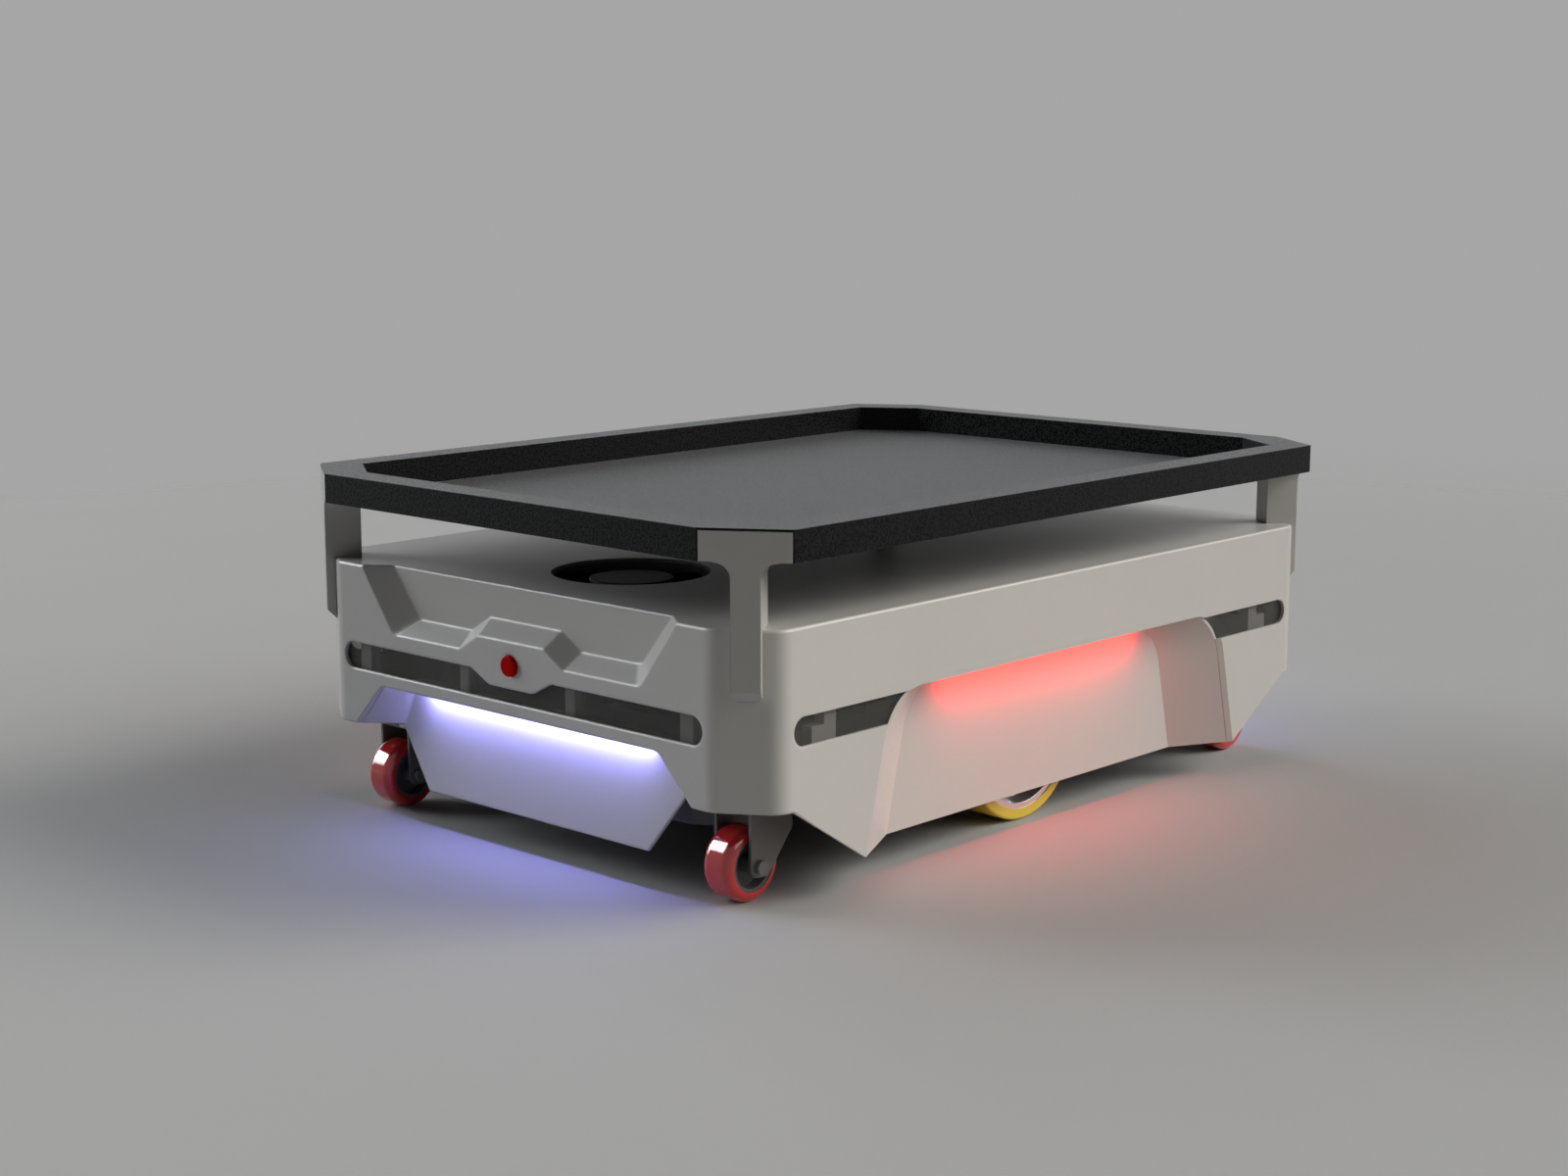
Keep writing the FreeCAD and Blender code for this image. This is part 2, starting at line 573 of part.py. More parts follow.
def shell_openings(body):
    """Scoops in all four sides, the fan port and the button hole."""
    mouth = draw(body, "arch_mouth", "XZ_Plane", [arch(as_size(0), foot=S.FootReach)], lift=-BODY_Y)
    panel = draw(body, "arch_panel", "XZ_Plane", [arch(S.PanelInset, foot=S.FootReach)], lift=-PANEL_Y)
    mirrored(body, [lofted(body, "SubtractiveLoft", mouth, panel)], "XZ_Plane", "right_arch")
    lip = draw(body, "scoop_mouth", "YZ_Plane", [scoop(as_size(0), foot=S.FootReach)], lift=BODY_X)
    rear = draw(body, "scoop_rear", "YZ_Plane", [scoop(S.ApronDepth, foot=S.FootReach)],
                lift=BODY_X - S.ApronDepth)
    mirrored(body, [lofted(body, "SubtractiveLoft", lip, rear)], "YZ_Plane", "rear_scoop")
    deep = S.ShellWall + S.Overrun * 2
    port = draw(body, "fan_port", "XY_Plane", discs=[(PORT_X, 0, S.PortDiameter / 2)],
                lift=S.DeckHeight + S.Overrun)
    swept(body, "Pocket", port, deep)
    hole = draw(body, "button_hole", "YZ_Plane",
                discs=[(0, BUTTON_HEIGHT, S.ButtonDiameter / 2 + S.RunningFit)], lift=BODY_X + S.Overrun)
    swept(body, "Pocket", hole, deep)


def body_shell():
    """The light moulded cover: deck, four sides, corner faces and skirts in one piece."""
    body = new_body("body_shell")
    shell_form(body)
    shell_ribs(body)
    shell_recess(body)
    shell_slots(body)
    shell_openings(body)


def side_apron(label, side):
    """The moulded liner of a side scoop: sloping arch wall and flat panel."""
    body = new_body(label)
    wall = S.ApronWall
    rim = draw(body, label + "_rim", "XZ_Plane", [arch(S.ShellWall, wall)], lift=-WALL_Y)
    back = draw(body, label + "_back", "XZ_Plane", [arch(S.PanelInset, wall)], lift=-(PANEL_Y - wall))
    lofted(body, "AdditiveLoft", rim, back)
    mouth = draw(body, label + "_mouth", "XZ_Plane", [arch(as_size(0), foot=S.FootReach)], lift=-BODY_Y)
    panel = draw(body, label + "_panel", "XZ_Plane", [arch(S.PanelInset, foot=S.FootReach)], lift=-PANEL_Y)
    lofted(body, "SubtractiveLoft", mouth, panel)
    if side < 0:
        body.Placement = Placement(Vector(0, 0, 0), FLIP)


def free_sketch(name, rotation, base, corners):
    """A sketch outside any body, for lofts and extrusions that are then combined."""
    sketch = doc.addObject("Sketcher::SketchObject", name)
    sketch.Placement = Placement(Vector(0, 0, 0), rotation)
    for axis, amount in zip("xyz", base):
        bind(sketch, "Placement.Base." + axis, amount)
    ring(sketch, corners)
    return sketch


def joined_loft(name, first, second):
    item = doc.addObject("Part::Loft", name)
    item.Sections = [first, second]
    item.Solid = True
    item.Ruled = True
    return item


def extruded(name, sketch, direction, length):
    item = doc.addObject("Part::Extrusion", name)
    item.Base = sketch
    item.DirMode = "Custom"
    item.Dir = direction
    item.Solid = True
    bind(item, "LengthFwd", length)
    return item


def end_apron(label, side):
    """The liner of a front or rear scoop: drafted walls and a sloping six-sided panel."""
    wall = S.ApronWall
    rear_x = BODY_X - APRON_TOP_DEPTH
    far = S.ApronDepth * 2
    rim = free_sketch(label + "_rim", ACROSS, (WALL_X, 0, 0), scoop(S.ShellWall, wall))
    end = free_sketch(label + "_end", ACROSS, (rear_x, 0, 0), scoop(APRON_TOP_DEPTH, wall))
    mouth = free_sketch(label + "_mouth", ACROSS, (BODY_X, 0, 0), scoop(as_size(0), foot=S.FootReach))
    back = free_sketch(label + "_void", ACROSS, (BODY_X - far, 0, 0), scoop(far, foot=S.FootReach))
    walls = cut(label + "_walls", joined_loft(label + "_outer", rim, end),
                joined_loft(label + "_inner", mouth, back))
    foot_x = BODY_X - APRON_FOOT_DEPTH
    top = SCOOP_TOP + wall
    side_y = APRON_WAIST + S.Reach
    slope = free_sketch(label + "_slope", ALONG, (0, side_y, 0), [
        (foot_x, S.SkirtBottom), (rear_x, top), (rear_x - wall, top), (foot_x - wall, S.SkirtBottom)])
    slab = extruded(label + "_slab", slope, Vector(0, -1, 0), side_y * 2)
    foot = BODY_Y - S.ApronFootInset
    waist = APRON_WAIST + wall / 2
    upper = APRON_TOP_HALF + wall / 2
    outline = free_sketch(label + "_outline", ACROSS, (rear_x - S.Reach, 0, 0), [
        (foot, S.SkirtBottom), (waist, S.BodyBottom), (upper, top), (-upper, top), (-waist, S.BodyBottom),
        (-foot, S.SkirtBottom)])
    panel = doc.addObject("Part::Common", label + "_plate")
    panel.Base = slab
    panel.Tool = extruded(label + "_gate", outline, Vector(1, 0, 0), APRON_TOP_DEPTH)
    item = keep(fused(label + "_all", [walls, panel]), label)
    if side < 0:
        item.Placement = Placement(Vector(0, 0, 0), FLIP)


def light_strips():
    """Bars of lamps under the roof of each scoop."""
    for label, end in (("front_light", 1), ("rear_light", -1)):
        near = BODY_X - S.FrontStripInset
        half = SCOOP_TOP_HALF - S.FrontStripShort
        low = SCOOP_TOP - S.StripHeight
        bar = box(label + "_bar", (near - S.StripWidth if end > 0 else -near, -half, low),
                  (S.StripWidth, half * 2, S.StripHeight))
        keep(softened(label + "_soft", bar, S.StripRound, at_height(low)), label)
    for label, side in (("left_light", 1), ("right_light", -1)):
        near = BODY_Y - S.SideStripInset
        half = SKIRT_TIP - S.SideStripShort
        low = ARCH_TOP - S.StripHeight
        bar = box(label + "_bar", (-half, near - S.StripWidth if side > 0 else -near, low),
                  (half * 2, S.StripWidth, S.StripHeight))
        keep(softened(label + "_soft", bar, S.StripRound, at_height(low)), label)


def windows():
    """Smoked panes behind the slots."""
    low = SLOT_LOW - S.GlassLap
    high = SLOT_TOP + S.GlassLap
    half = FRONT_SLOT + S.FrontGlassLap
    notch_half = S.SwitchSide / 2 + S.GlassNotchGap
    notch_low = BUTTON_HEIGHT - notch_half
    notch = [(-half, low), (half, low), (half, high), (notch_half, high), (notch_half, notch_low),
             (-notch_half, notch_low), (-notch_half, high), (-half, high)]
    body = new_body("front_window")
    pane = draw(body, "front_pane", "YZ_Plane", [notch], lift=WALL_X)
    swept(body, "Pad", pane, S.GlassThickness, reverse=True)
    body = new_body("rear_window")
    pane = draw(body, "rear_pane", "YZ_Plane", [rectangle(-half, low, half, high)], lift=-WALL_X)
    swept(body, "Pad", pane, S.GlassThickness)
    for name, end, side in QUADRANTS:
        side_window(name, end, side)


def side_window(name, end, side):
    """A smoked pane beside a scoop, its inner end following the scoop's curve."""
    body = new_body(name + "_side_window")
    forward = end * side
    corners = rectangle(forward * (SKIRT_TIP - S.GlassReach), SLOT_LOW - S.GlassLap,
                        forward * (SIDE_SLOT + S.GlassEndLap), SLOT_TOP + S.SideGlassLap)
    pane = draw(body, name + "_pane", "XZ_Plane", [corners], lift=-WALL_Y)
    swept(body, "Pad", pane, S.GlassThickness)
    curve = draw(body, name + "_pane_end", "XZ_Plane", [arch(S.ShellWall, S.ApronWall + S.NotchGap)],
                 lift=-WALL_Y - S.Overrun)
    swept(body, "Pocket", curve, S.GlassThickness + S.Overrun * 2, reverse=True)
    if side < 0:
        body.Placement = Placement(Vector(0, 0, 0), FLIP)


def tray():
    """The load tray: a deep rim with cut corners over a thin floor with a raised mat."""
    inner_cut_y = S.InnerCutX / CUT_RATIO
    inner_x = TRAY_X - S.RimWidth
    inner_y = TRAY_Y - S.RimWidth
    rim = new_body("tray_rim")
    plan = draw(rim, "rim_plan", "XY_Plane", [
        octagon(TRAY_X, TRAY_Y, S.TrayCutX, S.TrayCutY),
        octagon(inner_x, inner_y, S.InnerCutX, inner_cut_y)], lift=TRAY_BOTTOM)
    swept(rim, "Pad", plan, S.RimHeight)
    half = CUT_LENGTH / 2 - S.FlangeEndGap
    notches = []
    for _, end, side in QUADRANTS:
        corners = []
        for along, inward in ((half, -S.Overrun), (half, S.FlangeThickness), (-half, S.FlangeThickness),
                              (-half, -S.Overrun)):
            corners.append((end * (TRAY_X - S.TrayCutX / 2 - NORMAL_Y * along - NORMAL_X * inward),
                            side * (TRAY_Y - S.TrayCutY / 2 + NORMAL_X * along - NORMAL_Y * inward)))
        notches.append(corners)
    seats = draw(rim, "flange_seats", "XY_Plane", notches, lift=TRAY_BOTTOM)
    swept(rim, "Pocket", seats, S.RimHeight - S.FlangeLip, reverse=True)

    floor = new_body("tray_floor")
    floor_x = inner_x + S.TrayFloorLap
    floor_y = inner_y + S.TrayFloorLap
    corner = TRAY_CORNER - S.BracketDepth - S.PostGap
    floor_cut_y = floor_y - (corner - NORMAL_X * floor_x) / NORMAL_Y
    plan = draw(floor, "floor_plan", "XY_Plane",
                [octagon(floor_x, floor_y, floor_cut_y * CUT_RATIO, floor_cut_y)],
                lift=TRAY_BOTTOM - S.TrayFloorThickness)
    swept(floor, "Pad", plan, S.TrayFloorThickness)
    mat_cut = S.InnerCutX - S.TrayFloorGap * INSET_LOSS
    mat = octagon(inner_x - S.TrayFloorGap, inner_y - S.TrayFloorGap, mat_cut, mat_cut / CUT_RATIO)
    swept(floor, "Pad", draw(floor, "floor_mat", "XY_Plane", [mat], lift=TRAY_BOTTOM), S.TrayFloorStep)


def bracket(name, end, side):
    """A cast T bracket: flange in the tray rim, post on the deck, fin down the body corner."""
    body = new_body(name + "_bracket")
    half = S.PostWidth / 2
    wide = CUT_LENGTH / 2 - S.FlangeEndGap
    web = half + S.PostFillet + S.WebLand
    under = TRAY_BOTTOM - S.WebLand
    low = S.DeckHeight - S.FinDrop
    head = [(half, under, S.PostFillet), (web, under), (web, TRAY_BOTTOM), (-web, TRAY_BOTTOM),
            (-web, under), (-half, under, S.PostFillet)]
    fin = draw(body, name + "_fin", "XZ_Plane",
               [[(-half, low, S.FinToeRound), (half, low, S.FinToeRound)] + head])
    swept(body, "Pad", fin, S.FinDepth)
    column = draw(body, name + "_column", "XZ_Plane", [[(-half, S.DeckHeight), (half, S.DeckHeight)] + head])
    swept(body, "Pad", column, S.BracketDepth)
    flange = draw(body, name + "_flange", "XZ_Plane",
                  [rectangle(-wide, TRAY_BOTTOM, wide, S.TrayTop - S.FlangeLip)])
    swept(body, "Pad", flange, S.FlangeThickness)
    below = low - S.Overrun
    toe = draw(body, name + "_toe", "YZ_Plane", [
        [(0, below), (0, low + S.FinSlope), (-S.FinDepth, low), (-S.FinDepth, below)]])
    swept(body, "Pocket", toe, S.PostWidth + S.Overrun * 2, symmetric=True)
    angle = math.degrees(math.atan2(side * NORMAL_Y.value, end * NORMAL_X.value)) - 90
    place(body, end * (TRAY_X - S.TrayCutX / 2), side * (TRAY_Y - S.TrayCutY / 2), 0,
          Rotation(Vector(0, 0, 1), angle))


def fan():
    """The deck fan: a ring housing on struts and a rotor on its shaft."""
    low = UNDER_DECK - S.FanHeight
    bore = S.PortDiameter / 2 - S.FanLip
    hub_low = S.DeckHeight - S.HubDrop - S.HubHeight
    shaft = S.ShaftDiameter / 2
    body = new_body("fan_housing")
    outline = draw(body, "fan_ring", "XY_Plane", discs=[(0, 0, bore + S.FanWall), (0, 0, bore)], lift=low)
    swept(body, "Pad", outline, S.FanHeight)
    strut = draw(body, "fan_strut", "XY_Plane", [
        rectangle(S.HubDiameter / 4, -S.StrutWidth / 2, bore + S.StrutBite, S.StrutWidth / 2)], lift=low)
    arm = swept(body, "Pad", strut, S.FanFloor)
    around(body, [arm], strut, S.StrutCount, "fan_struts")
    boss = draw(body, "fan_motor", "XY_Plane", discs=[(0, 0, S.HubDiameter / 2 - S.BossInset)], lift=low)
    swept(body, "Pad", boss, S.FanFloor + S.BossRise)
    spindle = draw(body, "fan_shaft", "XY_Plane", discs=[(0, 0, shaft)], lift=low)
    swept(body, "Pad", spindle, hub_low - low + S.HubHeight / 2)
    place(body, PORT_X, 0, 0)

    rotor = new_body("fan_rotor")
    hub = draw(rotor, "rotor_hub", "XY_Plane", discs=[(0, 0, S.HubDiameter / 2)], lift=hub_low)
    drum = swept(rotor, "Pad", hub, S.HubHeight)
    rounded(rotor, drum, S.HubRound, at_height(S.DeckHeight - S.HubDrop), "rotor_hub_edge")
    tip = bore - S.FanClearance
    start = S.HubDiameter / 2 - S.BladeRootDepth
    inner = blade_section(rotor, "blade_root", start, S.BladeRootChord, S.BladeRootPitch)
    outer = blade_section(rotor, "blade_tip", tip + S.BladeOverlength, S.BladeTipChord, S.BladeTipPitch)
    blade = lofted(rotor, "AdditiveLoft", inner, outer)
    around(rotor, [blade], hub, S.BladeCount, "rotor_blades")
    swing = draw(rotor, "blade_swing", "XY_Plane", discs=[(0, 0, tip + S.BladeTipChord), (0, 0, tip)],
                 lift=hub_low - S.Overrun)
    swept(rotor, "Pocket", swing, S.HubHeight + S.Overrun * 2, reverse=True)
    pocket = draw(rotor, "rotor_bore", "XY_Plane", discs=[(0, 0, shaft + S.RunningFit)], lift=hub_low)
    swept(rotor, "Pocket", pocket, S.HubHeight / 2 + S.ShaftEndGap, reverse=True)
    place(rotor, PORT_X, 0, 0)


def blade_section(body, name, reach, chord, pitch):
    """A blade's flat section at a distance from the axis, leaned by its pitch."""
    middle = S.DeckHeight - S.HubDrop - S.HubHeight / 2 - S.BladeDrop
    corners = []
    for along, over in ((1, 1), (-1, 1), (-1, -1), (1, -1)):
        length = chord / 2 * along
        height = S.BladeThickness / 2 * over
        corners.append((cosine(pitch) * length - sine(pitch) * height,
                        middle + sine(pitch) * length + cosine(pitch) * height))
    return draw(body, name, "YZ_Plane", [corners], lift=reach)


def stop_button():
    """The red button in the front face and the switch block behind it."""
    face = BODY_X + S.ButtonProud
    rear = face - S.ButtonLength
    stem = S.StemDiameter / 2
    cap = S.ButtonDiameter / 2 - S.ButtonGap
    button = new_body("stop_button")
    profile = draw(button, "button_profile", "XY_Plane", [
        [(0, rear - S.StemLength), (stem, rear - S.StemLength), (stem, rear), (cap, rear),
         (cap, face, S.ButtonRound), (0, face)]])
    turned(button, profile)
    place(button, 0, 0, BUTTON_HEIGHT, Rotation(Vector(0, 0, 1), -90))

    block = new_body("switch_block")
    half = S.SwitchSide / 2
    outline = rectangle(-half, BUTTON_HEIGHT - half, half, BUTTON_HEIGHT + half, S.SwitchRound)
    square = draw(block, "switch_square", "YZ_Plane", [outline], lift=WALL_X)
    swept(block, "Pad", square, S.SwitchDepth, reverse=True)
    well = draw(block, "switch_well", "YZ_Plane",
                discs=[(0, BUTTON_HEIGHT, S.ButtonDiameter / 2 + S.RunningFit * 2)], lift=WALL_X)
    deep = WALL_X - rear + S.ButtonTravel + S.Overrun
    swept(block, "Pocket", well, deep)
    guide = draw(block, "switch_guide", "YZ_Plane", discs=[(0, BUTTON_HEIGHT, stem + S.RunningFit)],
                 lift=WALL_X)
    swept(block, "Pocket", guide, deep + S.StemLength)


def chassis_plate():
    """The steel plate that carries casters, drive units, shell and electronics."""
    body = new_body("chassis_plate")
    plan = draw(body, "plate_plan", "XY_Plane",
                [body_plan(S.ShellWall + S.PlateGap, S.CornerRound - S.ShellWall)], lift=PLATE_LOW)
    swept(body, "Pad", plan, S.PlateThickness)
    liner = S.ApronWall + S.NotchGap
    arch_half = SKIRT_TIP - S.ArchSlope * (PLATE_LOW - S.SkirtBottom) + liner
    scoop_x = BODY_X - APRON_TOP_DEPTH - liner
    wheel_x = S.DriveRadius + S.WheelGap
    wheel_y = WHEEL_INNER - S.WheelGap
    notches = []
    wheels = []
    motors = []
    for side in (1, -1):
        notches.append(rectangle(-arch_half, side * (PANEL_Y - liner), arch_half, side * (BODY_Y + S.Reach)))
        notches.append(rectangle(side * scoop_x, -SCOOP_HALF - liner,
                                 side * (BODY_X + S.Reach), SCOOP_HALF + liner))
        wheels.append(rectangle(-wheel_x, side * wheel_y, wheel_x, side * (WHEEL_OUTER + S.WheelSideGap)))
        motors.append(rectangle(-S.MotorBayHalf, side * (BAY_Y - S.Overrun), S.MotorBayHalf,
                                side * (wheel_y + S.Overrun)))
    bay = [rectangle(-BAY_REAR, -BAY_Y, BAY_FRONT, BAY_Y, S.CaseRound)]
    holes = [(spot_x, spot_y, S.BoltRadius + S.BoltHoleGap) for spot_x, spot_y in bolt_spots()]
    for name, rings, discs in (("plate_notches", notches, []), ("plate_bay", bay, []),
                               ("plate_wheels", wheels, []), ("plate_motors", motors, []),
                               ("plate_holes", [], holes)):
        opening = draw(body, name, "XY_Plane", rings, discs, lift=PLATE_LOW - S.Overrun)
        swept(body, "Pocket", opening, S.PlateThickness + S.Overrun * 2, reverse=True)


def belly_tub():
    """The sheet tub under the plate that holds the battery and the controller."""
    body = new_body("belly_tub")
    wall = S.TubWall
    outer = octagon(TUB_X, TUB_Y, S.TubCutX, S.TubCutX / CUT_RATIO, S.TubRound)
    block = swept(body, "Pad", draw(body, "tub_plan", "XY_Plane", [outer], lift=TUB_LOW), PLATE_LOW - TUB_LOW)
    rounded(body, block, wall, at_height(TUB_LOW), "tub_edge")
    inner_cut = S.TubCutX - wall * INSET_LOSS
    inner = octagon(TUB_X - wall, TUB_Y - wall, inner_cut, inner_cut / CUT_RATIO, S.TubRound - wall)
    swept(body, "Pocket", draw(body, "tub_inside", "XY_Plane", [inner], lift=TUB_FLOOR), PLATE_LOW - TUB_LOW,
          reverse=True)
    gap_half = S.MotorDiameter / 2 + S.MotorGap
    gap = rectangle(-gap_half, TUB_FLOOR, gap_half, PLATE_TOP)
    swept(body, "Pocket", draw(body, "motor_notch", "XZ_Plane", [gap]), (TUB_Y + S.Reach) * 2, symmetric=True)


def drive_unit(name, side):
    """A gear motor on its mount, with a spoked wheel and a polyurethane tyre."""
    axle = S.DriveRadius
    face = MOUNT_Y + S.MountThickness
    mount = new_body(name + "_motor_mount")
    stem = S.MotorBayHalf - S.MountStemGap
    foot = axle - S.MountDrop
    top = PLATE_TOP + S.MountRise
    tee = [(-stem, foot), (stem, foot), (stem, PLATE_TOP), (S.MountHalf, PLATE_TOP),
           (S.MountHalf, top, S.MountRound), (-S.MountHalf, top, S.MountRound), (-S.MountHalf, PLATE_TOP),
           (-stem, PLATE_TOP)]
    plate = draw(mount, name + "_mount_plan", "XZ_Plane", [tee], lift=-MOUNT_Y)
    swept(mount, "Pad", plate, S.MountThickness, reverse=True)
    hole = draw(mount, name + "_mount_hole", "XZ_Plane", discs=[(0, axle, S.MotorSpigotRadius)],
                lift=S.Overrun - MOUNT_Y)
    swept(mount, "Pocket", hole, S.MountThickness + S.Overrun * 2)

    motor = new_body(name + "_drive_motor")
    radius = S.MotorDiameter / 2
    end = MOUNT_Y - S.MotorLength
    neck = S.MotorSpigotRadius - S.SpigotGap
    shaft = S.AxleDiameter / 2
    bottom = MOUNT_Y - S.MotorBore
    outline = [(0, end), (radius - S.MotorCapStep, end), (radius - S.MotorCapStep, end + S.MotorCapLength),
               (radius, end + S.MotorCapLength), (radius, MOUNT_Y), (neck, MOUNT_Y), (neck, face),
               (shaft + S.RunningFit, face), (shaft + S.RunningFit, bottom), (0, bottom)]
    turned(motor, draw(motor, name + "_motor_profile", "XY_Plane", [outline]))
    place(motor, 0, 0, axle)

    hub = new_body(name + "_drive_hub")
    mid = WHEEL_OUTER - S.DriveWidth / 2
    web = S.DriveWeb / 2
    rim = S.DriveRadius - S.TreadThickness
    ring_in = rim - S.RingWidth
    hub_in = WHEEL_INNER + S.DriveHubSetback
    hub_out = WHEEL_OUTER - S.DriveHubSetback
    ring_low = WHEEL_INNER + S.RingSetback
    ring_high = WHEEL_OUTER - S.RingSetback
    shaft_end = bottom + S.ShaftEndGap
    wheel = [(0, shaft_end), (shaft, shaft_end), (shaft, hub_in), (S.DriveHubRadius, hub_in),
             (S.DriveHubRadius, mid - web), (ring_in, mid - web), (ring_in, ring_low), (rim, ring_low),
             (rim, ring_high), (ring_in, ring_high), (ring_in - S.RingFlare, mid + web),
             (S.DriveHubRadius, mid + web), (S.DriveHubRadius - S.DriveHubTaper, hub_out), (0, hub_out)]
    turned(hub, draw(hub, name + "_hub_profile", "XY_Plane", [wheel]))
    window = draw(hub, name + "_hub_window", "XZ_Plane",
                  discs=[(0, (S.DriveHubRadius + ring_in) / 2, S.SpokeHoleRadius)],
                  lift=-(mid + web + S.Overrun))
    opening = swept(hub, "Pocket", window, S.DriveWeb + S.Overrun * 2, reverse=True)
    around(hub, [opening], window, S.SpokeHoleCount, name + "_hub_windows")
    place(hub, 0, 0, axle)

    tyre = new_body(name + "_drive_tyre")
    tread = [(rim, WHEEL_INNER), (S.DriveRadius, WHEEL_INNER, S.TreadRound),
             (S.DriveRadius, WHEEL_OUTER, S.TreadRound), (rim, WHEEL_OUTER)]
    turned(tyre, draw(tyre, name + "_tread_profile", "XY_Plane", [tread]))
    place(tyre, 0, 0, axle)
    if side < 0:
        for item in (mount, motor, hub, tyre):
            item.Placement = Placement(Vector(0, 0, 0), FLIP)


def caster(name, end, side):
    """A swivel caster: top plate with king pin, pressed fork, axle bolt, hub and tyre."""
    caster_plate(name, end * CASTER_X, side * CASTER_Y)
    caster_fork(name, end, end * CASTER_X, side * CASTER_Y)
    caster_wheel(name, end * (CASTER_X + S.CasterTrail), side * CASTER_Y)


def caster_plate(name, place_x, place_y):
    under = PLATE_LOW - S.CasterPlateThickness
    half_x = S.CasterPlateLength / 2
    half_y = S.CasterPlateWidth / 2
    body = new_body(name + "_caster_plate")
    slab = draw(body, name + "_slab", "XY_Plane",
                [rectangle(-half_x, -half_y, half_x, half_y, S.CasterPlateRound)], lift=under)
    swept(body, "Pad", slab, S.CasterPlateThickness)
    head_top = FORK_TOP - S.ForkCrown - S.RaceGap
    head_low = head_top - S.KingHeadHeight
    cup_low = FORK_TOP + S.RaceGap
    cup = [(0, head_low), (S.KingHeadRadius, head_low), (S.KingHeadRadius, head_top),
           (S.KingPinRadius, head_top), (S.KingPinRadius, cup_low), (S.CupRadius - S.CupTaper, cup_low),
           (S.CupRadius, under), (0, under)]
    turned(body, draw(body, name + "_cup", "XZ_Plane", [cup]))
    holes = [(step_x * BOLT_SPAN_X / 2, step_y * BOLT_SPAN_Y / 2, S.BoltRadius + S.BoltHoleGap)
             for step_x in (1, -1) for step_y in (1, -1)]
    drilled = draw(body, name + "_plate_holes", "XY_Plane", discs=holes, lift=under - S.Overrun)
    swept(body, "Pocket", drilled, S.CasterPlateThickness + S.Overrun * 2, reverse=True)
    place(body, place_x, place_y, 0)


def caster_fork(name, end, place_x, place_y):
    """The fork on its king pin and the axle bolt through its cheeks."""
    turn = Rotation() if end > 0 else FLIP
    nose = S.CasterTrail + S.ForkToe
    axle = S.CasterRadius
    toe = axle - S.ForkToe
    outside = FORK_INSIDE / 2 + S.ForkThickness
    body = new_body(name + "_caster_fork")
    cheek = [(nose, FORK_TOP), (-S.ForkRear, FORK_TOP), (-S.ForkRear, FORK_TOP - S.ForkCheek),
             (S.CasterTrail - S.ForkToeBack, toe, S.ForkToe), (nose, toe, S.ForkToeRound)]
    swept(body, "Pad", draw(body, name + "_cheek", "XZ_Plane", [cheek]), outside * 2, symmetric=True)
    gap = rectangle(-FORK_INSIDE / 2, toe - S.Overrun, FORK_INSIDE / 2, FORK_TOP - S.ForkCrown)
    inside = draw(body, name + "_gap", "YZ_Plane", [gap])
    swept(body, "Pocket", inside, (nose + S.ForkRear) * 2, symmetric=True)
    pin = draw(body, name + "_king_hole", "XY_Plane", discs=[(0, 0, S.KingPinRadius + S.RunningFit)],
               lift=FORK_TOP + S.Overrun)
    swept(body, "Pocket", pin, S.ForkCrown + S.Overrun * 2)
    eye = draw(body, name + "_axle_hole", "XZ_Plane", discs=[(S.CasterTrail, axle, S.CasterAxleRadius)])
    swept(body, "Pocket", eye, (outside + S.Overrun) * 2, symmetric=True)
    place(body, place_x, place_y, 0, turn)

    bolt = new_body(name + "_caster_axle")
    head = outside + S.BoltHeadHeight
    rod = [(0, -head), (S.BoltHeadRadius, -head, S.BoltHeadRound), (S.BoltHeadRadius, -outside),
           (S.CasterAxleRadius, -outside), (S.CasterAxleRadius, outside), (S.BoltHeadRadius, outside),
           (S.BoltHeadRadius, head, S.BoltHeadRound), (0, head)]
    turned(bolt, draw(bolt, name + "_rod", "XY_Plane", [rod]))
    place(bolt, place_x + end * S.CasterTrail, place_y, axle, turn)


def caster_wheel(name, place_x, place_y):
    """The hub and the tyre that turn together on the axle bolt."""
    bore = S.CasterAxleRadius + S.RunningFit
    half = S.CasterWidth / 2
    wide = half + S.CasterHubProud
    side_x = half - S.CasterRimSetback
    web = S.CasterWebWidth / 2
    rim = S.CasterRadius - S.TyreThickness
    rim_in = rim - S.CasterRimWall
    hub = new_body(name + "_caster_hub")
    flare = rim_in + S.CasterRimFlare
    wheel = [(bore, -wide), (S.CasterHubRadius, -wide), (S.CasterHubRadius, -web), (rim_in, -web),
             (flare, -side_x), (rim, -side_x), (rim, side_x), (flare, side_x),
             (rim_in, web), (S.CasterHubRadius, web), (S.CasterHubRadius, wide), (bore, wide)]
    turned(hub, draw(hub, name + "_caster_hub_profile", "XY_Plane", [wheel]))
    place(hub, place_x, place_y, S.CasterRadius)

    tyre = new_body(name + "_caster_tyre")
    tread = [(rim, -half), (S.CasterRadius, -half, S.TyreCrown), (S.CasterRadius, half, S.TyreCrown),
             (rim, half)]
    turned(tyre, draw(tyre, name + "_tread", "XY_Plane", [tread]))
    place(tyre, place_x, place_y, S.CasterRadius)


def bolt_spots():
    """Where the four bolts of each caster plate stand."""
    return [(end * CASTER_X + step_x * BOLT_SPAN_X / 2, side * CASTER_Y + step_y * BOLT_SPAN_Y / 2)
            for _, end, side in QUADRANTS for step_x in (1, -1) for step_y in (1, -1)]


